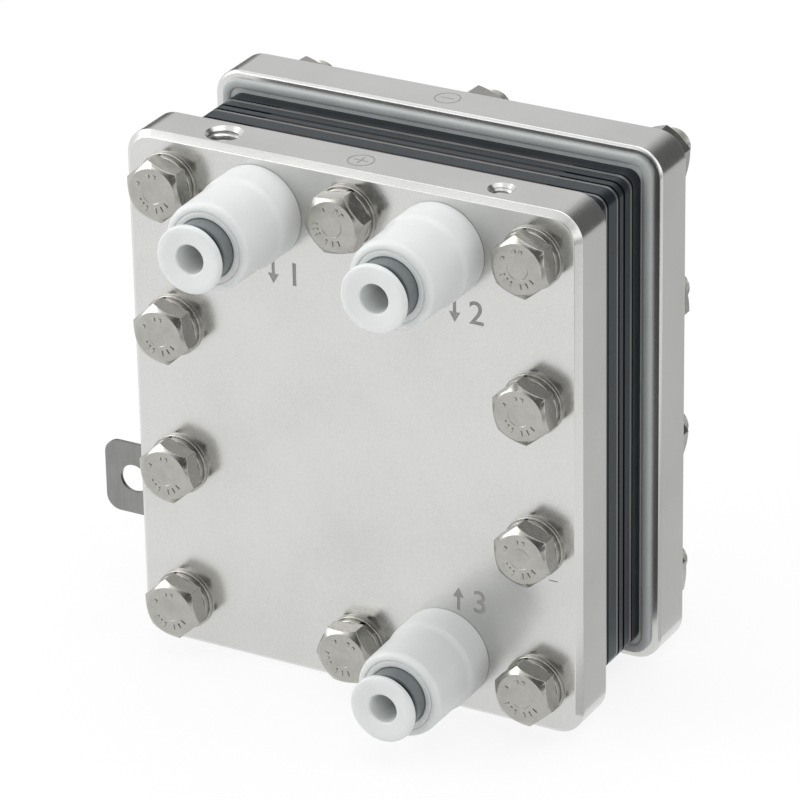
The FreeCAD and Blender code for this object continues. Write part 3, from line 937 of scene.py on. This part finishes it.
@dataclass
class CellStack:
    """The layers between the plates that are seen at their edges."""

    width: float = 100.5
    height: float = 113.5
    corner_radius: float = 3.0
    bolt_hole: float = 9.6
    port_hole: float = 6.0
    window: tuple[float, float, float] = (68.1, 79.7, 2.0)
    channel_width: float = 5.0
    channel_depth: float = 0.8
    front_sheet: tuple[float, float] = (6.35, 2.1)
    collector_thickness: float = 0.9
    front_collector_y: float = 8.45
    back_collector_y: float = 26.3
    cells: tuple[float, ...] = (9.35, 20.75)
    anode_frame: tuple[float, float] = (0.7, 1.75)
    cathode_frame: tuple[float, float] = (3.25, 2.3)
    separator_sheets: tuple[float, ...] = (14.9, 20.05)
    separator_thickness: float = 0.7
    graphite_block: tuple[float, float] = (16.2, 3.85)
    back_block: tuple[float, float] = (27.85, 3.6)
    back_sheet: tuple[float, float] = (31.45, 0.7)
    back_sheet_inset: tuple[float, float] = (2.3, 1.75)
    bead_width: float = 2.05
    bead_height: float = 0.5
    bead_steps: int = 12
    tab_width: float = 17.5
    tab_end_x: float = -73.2
    tab_root_x: float = -43.25
    tab_radius: float = 3.5
    tab_centre_height: float = 29.2
    tab_hole_x: float = -65.8
    tab_hole: float = 6.8
    tab_corner_deg: float = 40.0
    layer_edge: float = 0.12

    def build(self, dresser: Dresser) -> None:
        """Makes every layer that shows at the stack's sides."""
        self._plain(dresser, "front_insulating_sheet", "insulator_plastic", *self.front_sheet)
        self._plain(dresser, "bipolar_block_1", "graphite", *self.graphite_block)
        self._plain(dresser, "back_insulating_block", "insulator_plastic", *self.back_block, ports=False)
        for node, y in zip(("bipolar_front_sheet_1", "bipolar_back_sheet_1"), self.separator_sheets):
            self._plain(dresser, node, "titanium", y, self.separator_thickness)
        for index, cell_y in enumerate(self.cells, start=1):
            for kind, size, open_ports in (
                ("anode_frame", self.anode_frame, (Port.WATER, Port.OXYGEN)),
                ("cathode_frame", self.cathode_frame, (Port.HYDROGEN,)),
            ):
                self._frame(dresser, f"{kind}_{index}", kind + "_plastic", cell_y, size, open_ports)
        self._back_sheet(dresser)
        self._collector(dresser, "front_collector", self.front_collector_y, self.tab_centre_height, True)
        back_tab = 2 * MID_HEIGHT - self.tab_centre_height
        self._collector(dresser, "back_collector", self.back_collector_y, back_tab, False)

    def _bore(self, layer: Piece, y: float, thickness: float, ports: bool) -> None:
        """Cuts the bolt holes and, if asked, the port holes."""
        bore_through(layer, BoltPattern().places(), self.bolt_hole, y, thickness)
        if ports:
            bore_through(layer, [port.place for port in Port], self.port_hole, y, thickness)

    def _slab(self, name: str, y: float, thickness: float, edge: float) -> Piece:
        """Models a full layer with rounded edges."""
        return Slab(self.width, self.height, self.corner_radius, y, thickness, edge, edge).build(name)

    def _plain(
        self, dresser: Dresser, node: str, slot: str, y: float, thickness: float, ports: bool = True
    ) -> None:
        """Makes a layer with holes only.

        Args:
            dresser: The finishes.
            node: The CAD node that it stands for.
            slot: Its material slot.
            y: Where its front face is.
            thickness: How thick it is.
            ports: Whether the fluid ports go through it.
        """
        layer = self._slab(node + "_layer", y, thickness, self.layer_edge)
        self._bore(layer, y, thickness, ports)
        dresser.paint(layer, slot)
        dresser.hand_in(layer, node)

    def _frame(
        self, dresser: Dresser, node: str, slot: str, cell_y: float, size: tuple[float, float],
        open_ports: tuple[Port, ...],
    ) -> None:
        """Makes a cell frame with its window and the channels from its own ports.

        Args:
            dresser: The finishes.
            node: The CAD node that it stands for.
            slot: Its material slot.
            cell_y: Where the cell starts.
            size: How far behind that the frame starts, and its thickness.
            open_ports: The ports that a channel joins to the window.
        """
        y, thickness = cell_y + size[0], size[1]
        layer = self._slab(node + "_layer", y, thickness, self.layer_edge)
        width, height, radius = self.window
        opening = Slab(width, height, radius, y - OVER, thickness + 2 * OVER, 0.0, 0.0).build("opening")
        cut(layer, opening)
        for port in open_ports:
            x, z = port.place
            edge = MID_HEIGHT + math.copysign(height / 2 - OVER, z - MID_HEIGHT)
            low = mm(x - self.channel_width / 2, y - OVER, min(z, edge))
            high = mm(x + self.channel_width / 2, y + self.channel_depth, max(z, edge))
            cut(layer, box("channel", low, high))
        self._bore(layer, y, thickness, ports=True)
        dresser.paint(layer, slot)
        dresser.hand_in(layer, node)

    def _back_sheet(self, dresser: Dresser) -> None:
        """Makes the pale sheet on the back plate, whose rim bulges forward round the stack."""
        y, thickness = self.back_sheet
        side, top = self.back_sheet_inset
        width, height = EndPlates.width - 2 * side, EndPlates.height - 2 * top
        slab = Slab(width, height, EndPlates.corner_radius - side, y, thickness, 0.0, 0.0)
        sheet = slab.build("back_sheet_layer")
        turns = [math.pi * step / self.bead_steps for step in range(self.bead_steps + 1)]
        with editing(sheet):
            pick(sheet, Element.FACE, lambda face: face.normal.y < -0.9)
            for turn, end in zip(turns, turns[1:]):
                bpy.ops.mesh.inset(
                    thickness=(math.cos(turn) - math.cos(end)) * self.bead_width / 2 * MM,
                    depth=(math.sin(end) - math.sin(turn)) * self.bead_height * MM,
                )
        self._bore(sheet, y, thickness, ports=False)
        dresser.paint(sheet, "pale_sheet_plastic")
        dresser.hand_in(sheet, "back_insulating_sheet")

    def _collector(self, dresser: Dresser, node: str, y: float, tab_z: float, ports: bool) -> None:
        """Makes a collector with its terminal tab.

        Args:
            dresser: The finishes.
            node: The CAD node that it stands for.
            y: Where its front face is.
            tab_z: The height of the tab's middle.
            ports: Whether the fluid ports go through it.
        """
        thickness = self.collector_thickness
        plate = self._slab(node + "_layer", y, thickness, 0.0)
        length, centre = self.tab_root_x - self.tab_end_x, ((self.tab_root_x + self.tab_end_x) / 2, tab_z)
        tab = Slab(length, self.tab_width, self.tab_radius, y, thickness, 0.0, 0.0, centre=centre)
        cut(plate, tab.build("tab"), Cut.ADD)
        hole = [(self.tab_hole_x, tab_z)]
        cut(plate, rods(hole, self.tab_hole, y - OVER, thickness + 2 * OVER, TURNED_STEPS))
        soften(plate, self.layer_edge, angle_deg=self.tab_corner_deg)
        self._bore(plate, y, thickness, ports)
        dresser.paint(plate, "titanium")
        dresser.hand_in(plate, node)


@dataclass
class BoltSet:
    """The ten bolts with their washers and nuts, each kind joined to one piece."""

    across_flats: float = 12.55
    chamfer_share: float = 0.90
    chamfer_deg: float = 38.0
    head_height: float = 4.85
    head_seat_y: float = -8.55
    bolt_end_y: float = 61.65
    end_chamfer: float = 1.0
    thread: float = 7.9
    thread_root: float = 6.7
    thread_pitch: float = 1.41
    thread_length: float = 20.0
    nut_y: float = 47.05
    nut_height: float = 8.6
    nut_bore: float = 8.14
    nut_sink: float = 0.55
    washer: tuple[float, float, float] = (13.9, 8.3, 0.9)
    washer_edges: tuple[float, ...] = (0.08, 0.15, 0.22, 0.08)
    spring_washer: tuple[float, float, float] = (13.1, 8.3, 1.3)
    spring_washer_edges: tuple[float, ...] = (0.12, 0.2, 0.2, 0.12)
    spring_gap: float = 0.9
    spring_gap_turn: float = 70.0
    front_washer_y: float = -7.25
    back_washer_y: float = 44.85
    back_spring_washer_y: float = 45.75
    ring_steps: int = 64
    edge: float = 0.09
    dish_radius: float = 2.5
    dish_depth: float = 0.10
    dish_slope: float = 0.2
    mark_height: float = 0.25
    mark_radius: float = 3.95
    mark_edge: float = 0.08
    mark_foot: float = 0.1
    bar_mark: Place = (0.62, 0.24)
    dot_mark: Place = (0.40, 0.40)
    bar_marks: tuple[float, ...] = (170.0, 188.0, 206.0, 240.0, 262.0, 284.0)
    dot_marks: tuple[float, ...] = (40.0, 62.0, 112.0)
    head_turns: tuple[float, ...] = (41.3, 42.8, 42.0, 43.4, 39.5, 39.6, 39.5, 42.0, 6.0, 10.0)
    nut_turns: tuple[float, ...] = (34.0, 35.0, 52.0, 3.0, 21.0, 42.0, 18.0, 27.0, 8.0, 37.0)

    def build(self, dresser: Dresser) -> None:
        """Makes one of each kind and copies it to the ten places."""
        places = BoltPattern().places()
        kinds = {
            "bolts": (self._bolt(), self.head_turns, 0.0),
            "nuts": (self._nut(), self.nut_turns, self.nut_y),
            "spring_washers": (self._spring_washer(), self.head_turns, self.head_seat_y),
            "front_washers": (self._washer(), self.head_turns, self.front_washer_y),
            "back_washers": (self._washer(), self.nut_turns, self.back_washer_y),
            "back_spring_washers": (self._spring_washer(), self.nut_turns, self.back_spring_washer_y),
        }
        for node, (model, turns, y) in kinds.items():
            copies = [copy_of(model, node, mm(x, y, z), turn) for (x, z), turn in zip(places, turns)]
            bpy.data.objects.remove(model)
            group = joined(node + "_set", copies)
            dresser.paint(group, "bolt_steel")
            dresser.hand_in(group, node)

    def _hexagon(self, name: str, y: float, length: float, front: bool, back: bool) -> Piece:
        """Models a hexagon bar with a corner at +X, its ends turned down to a cone where asked.

        Args:
            name: The piece's name.
            y: Where it starts.
            length: How long it is.
            front: Whether its front end is turned down.
            back: Whether its back end is turned down.

        Returns:
            The bar.
        """
        corner = self.across_flats / 2 / math.cos(math.radians(HEX_HALF_DEG))
        bar = added(
            name, bpy.ops.mesh.primitive_cylinder_add, vertices=6, radius=corner * MM,
            depth=(length + 2 * OVER) * MM, location=mm(0.0, y + length / 2, 0.0),
            rotation=(math.pi / 2, math.radians(HEX_HALF_DEG), 0.0),
        )
        reach = corner + OVER
        flat = self.across_flats / 2 * self.chamfer_share
        slope = (reach - flat) * math.tan(math.radians(self.chamfer_deg))
        corners: list[Corner] = [(0.0, y, 0.0)]
        corners += [(flat, y, 0.0), (reach, y + slope, 0.0)] if front else [(reach, y, 0.0)]
        end = y + length
        corners += [(reach, end - slope, 0.0), (flat, end, 0.0)] if back else [(reach, end, 0.0)]
        corners.append((0.0, end, 0.0))
        cut(bar, turned("cone", corners), Cut.COMMON)
        return bar

    def _marks(self, y: float) -> list[Piece]:
        """Models the raised bars and dots on a bolt's head.

        Args:
            y: Where the head's face is.

        Returns:
            The marks.
        """
        marks = []
        for turns, (half_x, half_z) in ((self.bar_marks, self.bar_mark), (self.dot_marks, self.dot_mark)):
            for turn in turns:
                low, high = mm(-half_x, y - self.mark_height, -half_z), mm(half_x, y + self.mark_foot, half_z)
                mark = box("mark", low, high)
                soften(mark, self.mark_edge)
                angle = math.radians(turn)
                spot = mm(self.mark_radius * math.cos(angle), 0.0, self.mark_radius * math.sin(angle))
                marks.append(copy_of(mark, "mark", spot, turn))
                bpy.data.objects.remove(mark)
        return marks

    def _bolt(self) -> Piece:
        """Models a bolt: head with marks, plain shank and threaded end."""
        face_y = self.head_seat_y - self.head_height
        head = self._hexagon("bolt", face_y, self.head_height, front=True, back=False)
        floor_y = face_y + self.dish_depth
        cut(head, turned("dish", [
            (0.0, face_y - OVER, 0.0), (self.dish_radius + OVER, face_y - OVER, 0.0),
            (self.dish_radius + self.dish_slope, face_y - self.dish_depth, 0.0),
            (self.dish_radius - self.dish_slope, floor_y, 0.0), (0.0, floor_y, 0.0),
        ], BORE_STEPS))
        soften(head, self.edge)
        thread_y = self.bolt_end_y - self.thread_length
        radius = self.thread / 2
        shank_start, shank_end = self.head_seat_y - OVER / 2, thread_y + OVER / 2
        shank = turned("shank", [(0.0, shank_start, 0.0), (radius, shank_start, 0.0),
                                 (radius, shank_end, 0.0), (0.0, shank_end, 0.0)], BORE_STEPS)
        thread = threaded_rod("thread", radius, self.thread_root / 2, self.thread_pitch, self.thread_length)
        thread.location = mm(0.0, thread_y, 0.0)
        apply_place(thread)
        tip = radius - self.end_chamfer
        cone = turned("cone", [(0.0, thread_y - OVER, 0.0), (radius + OVER, thread_y - OVER, 0.0),
                               (radius + OVER, self.bolt_end_y - self.end_chamfer - OVER, 0.0),
                               (tip, self.bolt_end_y, 0.0), (0.0, self.bolt_end_y, 0.0)], BORE_STEPS)
        cut(thread, cone, Cut.COMMON)
        return joined("bolt", [head, shank, thread, *self._marks(face_y)])

    def _nut(self) -> Piece:
        """Models a nut whose bore is countersunk at both ends."""
        nut = self._hexagon("nut", 0.0, self.nut_height, front=True, back=True)
        soften(nut, self.edge)
        bore, sink, end = self.nut_bore / 2, self.nut_sink, self.nut_height
        cutter = turned("bore", [(0.0, -OVER, 0.0), (bore + sink + OVER, -OVER, 0.0), (bore, sink, 0.0),
                                 (bore, end - sink, 0.0), (bore + sink + OVER, end + OVER, 0.0),
                                 (0.0, end + OVER, 0.0)], BORE_STEPS)
        cut(nut, cutter)
        return nut

    def _ring(
        self, name: str, size: tuple[float, float, float], edges: tuple[float, ...], gap_deg: float = 0.0
    ) -> Piece:
        """Models a ring with rounded edges.

        Args:
            name: The piece's name.
            size: Its outer and inner diameter and its thickness.
            edges: The rounding of its four edges, from the inner front one round the outside.
            gap_deg: The angle that is left open.

        Returns:
            The ring.
        """
        outer, inner, thickness = size
        places = (inner / 2, 0.0), (outer / 2, 0.0), (outer / 2, thickness), (inner / 2, thickness)
        corners = [(*place, edge) for place, edge in zip(places, edges)]
        return turned(name, corners, self.ring_steps, gap_deg)

    def _washer(self) -> Piece:
        """Models a flat washer."""
        return self._ring("washer", self.washer, self.washer_edges)

    def _spring_washer(self) -> Piece:
        """Models a split spring washer with its gap turned as on the bolt's head."""
        outer, inner, _ = self.spring_washer
        gap = math.degrees(2 * self.spring_gap / (outer / 2 + inner / 2))
        washer = self._ring("spring_washer", self.spring_washer, self.spring_washer_edges, gap)
        twin = copy_of(washer, "spring_washer", mm(0.0, 0.0, 0.0), self.spring_gap_turn)
        bpy.data.objects.remove(washer)
        return twin


@dataclass
class Fittings:
    """The three push-in tube fittings; heights run out from the front plate's face."""

    body: tuple[Corner, ...] = (
        (2.25, -9.0, 0.0), (5.65, -9.0, 0.0), (6.45, -8.2, 0.0), (6.45, 0.0, 0.0), (6.5, 0.0, 0.0),
        (6.5, 1.1, 0.0), (8.9, 1.1, 0.0), (8.9, 0.0, 0.0), (10.7, 0.0, 0.3), (10.7, 7.4, 2.0),
        (10.25, 9.0, 3.0), (10.05, 21.8, 1.5), (8.35, 21.8, 0.08), (8.28, 21.5, 0.08), (8.05, 21.5, 0.08),
        (7.98, 21.8, 0.08), (6.95, 21.8, 0.12), (6.7, 21.5, 0.0), (6.7, 12.4, 0.0), (5.85, 12.4, 0.0),
        (5.85, 8.4, 0.0), (3.3, 8.4, 0.0), (3.3, 3.0, 0.0), (2.25, 3.0, 0.0),
    )
    guide_ring: tuple[Corner, ...] = (
        (5.85, 17.0, 0.0), (6.65, 17.0, 0.0), (6.65, 25.0, 0.3), (5.85, 25.0, 0.15),
    )
    release_cap: tuple[Corner, ...] = (
        (3.3, 17.8, 0.2), (4.6, 17.8, 0.2), (4.6, 27.3, 0.0), (7.7, 27.3, 0.55), (7.7, 28.9, 0.6),
        (6.3, 28.9, 1.2), (3.3, 28.35, 0.45),
    )
    mould_mark: tuple[float, float, float] = (1.7, 0.35, 0.25)
    mould_mark_turn: float = -52.0
    mould_mark_radius: float = 9.0
    mould_mark_rounding: float = 0.95
    front_height: float = 21.8

    def build(self, dresser: Dresser) -> None:
        """Makes each piece once and copies it to the three ports."""
        kinds = {
            "fitting_body": (self._body(), "fitting_plastic"),
            "guide_ring": (self._outward("guide_ring", self.guide_ring), "guide_ring_plastic"),
            "release_cap": (self._outward("release_cap", self.release_cap), "fitting_plastic"),
        }
        for piece_name, (model, slot) in kinds.items():
            for port in Port:
                x, z = port.place
                node = f"{port.label}_{piece_name}"
                piece = copy_of(model, node + "_shape", mm(x, FRONT_FACE_Y, z))
                dresser.paint(piece, slot)
                moves = piece_name == "release_cap"
                dresser.hand_in(piece, node, body=f"{port.label}_release" if moves else FIXED_BODY)
            bpy.data.objects.remove(model)

    def _outward(self, name: str, corners: tuple[Corner, ...]) -> Piece:
        """Turns an outline whose heights run out from the plate, towards -Y."""
        return turned(name, [(radius, -height, rounding) for radius, height, rounding in corners])

    def _body(self) -> Piece:
        """Models the moulded body with the small slot that the mould leaves in its front face."""
        body = self._outward("fitting_body", self.body)
        half_length, half_width, depth = self.mould_mark
        low = mm(-half_width, -self.front_height - OVER, -half_length)
        high = mm(half_width, -self.front_height + depth, half_length)
        slot = box("slot", low, high)
        with editing(slot):
            pick(slot, Element.EDGE, lambda edge: abs(edge.verts[0].co.y - edge.verts[1].co.y) > WELD)
            bpy.ops.mesh.bevel(offset=half_width * self.mould_mark_rounding * MM, segments=4, affect="EDGES")
        angle = math.radians(self.mould_mark_turn)
        spot = mm(self.mould_mark_radius * math.cos(angle), 0.0, self.mould_mark_radius * math.sin(angle))
        mark = copy_of(slot, "mould_mark", spot, self.mould_mark_turn)
        bpy.data.objects.remove(slot)
        cut(body, mark)
        return body


@dataclass(frozen=True)
class Lamp:
    """One soft square lamp, in metres and watts."""

    name: str
    place: tuple[float, float, float]
    size: float
    power: float


@dataclass(frozen=True)
class Card:
    """A glowing plane that only reflections see, in metres: a painted reflection on the shiny metal, which
    casts no shadow.

    Its glow runs from one value at the lower end of X to another at the upper end.
    """

    name: str
    low: tuple[float, float, float]
    high: tuple[float, float, float]
    glow: tuple[float, float]
    graded: tuple[float, float]


@dataclass
class Studio:
    """The floor, lamps, painted reflection planes, world and camera."""

    camera_place: Vector = field(default_factory=lambda: Vector((0.484746, -0.850145, 0.538429)))
    camera_turn: Euler = field(default_factory=lambda: Euler((1.121563, 0.017477, 0.502411)))
    focal_px: float = 5035.38
    image_px: float = 800.0
    sensor_mm: float = 36.0
    floor_size: float = 12.0
    background: float = 1.0
    floor_glow: float = 1.06
    floor_paint: float = 0.82
    floor_roughness: float = 0.9
    floor_seen_share: float = 0.8
    floor_height: float = -0.0002
    world_light: float = 0.48
    lamps: tuple[Lamp, ...] = (
        Lamp("key_light", (-0.99, -0.61, 0.63), 0.9, 6.7),
        Lamp("fill_light", (0.95, -0.55, 0.55), 1.0, 1.9),
        Lamp("top_light", (0.05, 0.25, 1.25), 1.2, 6.5),
    )
    # Planes that glow and that only reflections see: painted reflections on the shiny metal, the bright ones
    # painted highlights and the dim ones painted shade. They cast no shadow.
    cards: tuple[Card, ...] = (
        Card("low_side_painted_reflection", (0.058, -0.02, 0.002), (0.9, 0.49, 0.002), (0.63, 0.63), (0.0, 1.0)),
        Card("low_front_painted_reflection", (0.11, -0.75, 0.002), (0.9, -0.14, 0.002), (0.50, 0.50), (0.0, 1.0)),
        Card("camera_side_painted_reflection", (-0.15, -0.8, 0.12), (1.1, -0.8, 1.05), (0.85, 0.10), (-0.15, 0.20)),
        Card("high_front_painted_highlight", (-1.2, -0.8, 0.75), (-0.38, -0.8, 1.15), (1.9, 1.9), (0.0, 1.0)),
        Card("low_back_painted_reflection", (-0.75, 0.48, 0.0), (-0.36, 0.48, 0.27), (0.12, 0.12), (0.0, 1.0)),
        Card("graded_painted_reflection", (-0.9, 0.5, 0.003), (0.9, 0.5, 0.9), (0.75, 0.12), (-0.05, 0.20)),
    )

    def build(self) -> None:
        """Makes all of it."""
        self._floor()
        self._world()
        for lamp in self.lamps:
            self._lamp(lamp)
        for reflection_plane in self.cards:
            self._card(reflection_plane)
        self._camera()

    def _seen_directly(self, tree: Tree) -> Socket:
        """Gives 1 for rays from the camera and from mirror-like or clear surfaces, and 0 for the rest."""
        path = tree.nodes.new("ShaderNodeLightPath")
        total = path.outputs["Is Camera Ray"]
        for name in ("Is Glossy Ray", "Is Transmission Ray"):
            larger = tree.nodes.new("ShaderNodeMath")
            larger.operation = "MAXIMUM"
            tree.links.new(total, larger.inputs[0])
            tree.links.new(path.outputs[name], larger.inputs[1])
            total = larger.outputs[0]
        return total

    def _floor(self) -> None:
        """Makes the pale floor, which keeps the object's shadow but is seen as the white background."""
        floor = added("studio_floor", bpy.ops.mesh.primitive_plane_add, size=self.floor_size,
                      location=(0.0, 0.0, self.floor_height))
        material = bpy.data.materials.new("floor_paint")
        material.use_nodes = True
        tree = material.node_tree
        paint = tree.nodes["Principled BSDF"]
        paint.inputs["Base Color"].default_value = (self.floor_paint,) * 3 + (1.0,)
        paint.inputs["Roughness"].default_value = self.floor_roughness
        glow = tree.nodes.new("ShaderNodeEmission")
        glow.inputs["Strength"].default_value = self.floor_glow
        mix = tree.nodes.new("ShaderNodeMixShader")
        share = tree.nodes.new("ShaderNodeMath")
        share.operation = "MULTIPLY"
        share.inputs[1].default_value = self.floor_seen_share
        tree.links.new(self._seen_directly(tree), share.inputs[0])
        tree.links.new(share.outputs[0], mix.inputs["Fac"])
        tree.links.new(paint.outputs[0], mix.inputs[1])
        tree.links.new(glow.outputs[0], mix.inputs[2])
        tree.links.new(mix.outputs[0], tree.nodes["Material Output"].inputs["Surface"])
        floor.data.materials.append(material)

    def _world(self) -> None:
        """Makes the world: soft light on the object, and white where it is seen or mirrored."""
        world = bpy.data.worlds.new("studio_world")
        world.use_nodes = True
        tree = world.node_tree
        lighting = tree.nodes["Background"]
        lighting.inputs["Strength"].default_value = self.world_light
        lighting.inputs["Color"].default_value = (1.0, 1.0, 1.0, 1.0)
        seen = tree.nodes.new("ShaderNodeBackground")
        seen.inputs["Color"].default_value = (1.0, 1.0, 1.0, 1.0)
        seen.inputs["Strength"].default_value = self.background
        mix = tree.nodes.new("ShaderNodeMixShader")
        tree.links.new(self._seen_directly(tree), mix.inputs["Fac"])
        tree.links.new(lighting.outputs[0], mix.inputs[1])
        tree.links.new(seen.outputs[0], mix.inputs[2])
        tree.links.new(mix.outputs[0], tree.nodes["World Output"].inputs["Surface"])
        bpy.context.scene.world = world

    def _lamp(self, lamp: Lamp) -> None:
        """Makes one soft area light aimed at the middle of the object."""
        light = bpy.data.lights.new(lamp.name, "AREA")
        light.size = lamp.size
        light.energy = lamp.power
        shade = bpy.data.objects.new(lamp.name, light)
        shade.location = lamp.place
        middle = (CAD_BOX[0] + CAD_BOX[1]) / 2
        shade.rotation_euler = (middle - Vector(lamp.place)).to_track_quat("-Z", "Y").to_euler()
        bpy.context.scene.collection.objects.link(shade)

    def _card(self, reflection_plane: Card) -> None:
        """Makes one painted reflection plane: lying where it has no height, and upright otherwise."""
        low, high = Vector(reflection_plane.low), Vector(reflection_plane.high)
        lying = low.z == high.z
        bpy.ops.object.select_all(action="DESELECT")
        bpy.ops.mesh.primitive_plane_add(
            size=1.0, location=(low + high) / 2, rotation=(0.0 if lying else math.pi / 2, 0.0, 0.0),
        )
        plane = bpy.context.active_object
        plane.name = reflection_plane.name
        plane.scale = (high.x - low.x, high.y - low.y if lying else high.z - low.z, 1.0)
        apply_place(plane)
        plane.data.materials.append(self._card_glow(reflection_plane))
        # Only reflections see the glowing plane, and it casts no shadow: it is a painted reflection, not a
        # lamp.
        plane.visible_camera = False
        plane.visible_diffuse = False
        plane.visible_shadow = False

    def _card_glow(self, reflection_plane: Card) -> bpy.types.Material:
        """Makes the graded glow of one painted reflection plane along X.

        Args:
            reflection_plane: The painted reflection plane's place, size and glow.

        Returns:
            Its material.
        """
        material = bpy.data.materials.new(reflection_plane.name + "_glow")
        material.use_nodes = True
        tree = material.node_tree
        split = tree.nodes.new("ShaderNodeSeparateXYZ")
        tree.links.new(tree.nodes.new("ShaderNodeTexCoord").outputs["Object"], split.inputs[0])
        grade = tree.nodes.new("ShaderNodeMapRange")
        grade.inputs["From Min"].default_value, grade.inputs["From Max"].default_value = reflection_plane.graded
        grade.inputs["To Min"].default_value, grade.inputs["To Max"].default_value = reflection_plane.glow
        tree.links.new(split.outputs["X"], grade.inputs["Value"])
        # The emission is the brightness of the painted reflection.
        glow = tree.nodes.new("ShaderNodeEmission")
        tree.links.new(grade.outputs["Result"], glow.inputs["Strength"])
        tree.links.new(glow.outputs[0], tree.nodes["Material Output"].inputs["Surface"])
        return material

    def _camera(self) -> None:
        """Puts the camera where the photograph was taken from."""
        data = bpy.data.cameras.new("camera")
        data.sensor_width = self.sensor_mm
        data.lens = self.focal_px * self.sensor_mm / self.image_px
        data.clip_end = 50.0
        camera = bpy.data.objects.new("camera", data)
        camera.location = self.camera_place
        camera.rotation_euler = self.camera_turn
        bpy.context.scene.collection.objects.link(camera)
        bpy.context.scene.camera = camera


def main() -> None:
    """Builds the scene: finishes, pieces, then the studio."""
    logging.basicConfig(level=logging.INFO, format="%(name)s: %(message)s")
    bpy.context.scene.view_settings.view_transform = "Standard"
    dresser = Dresser()
    dresser.paint_nodes()
    for assembly in (EndPlates(), CellStack(), BoltSet(), Fittings()):
        assembly.build(dresser)
    Studio().build()


if __name__ == "__main__":
    main()
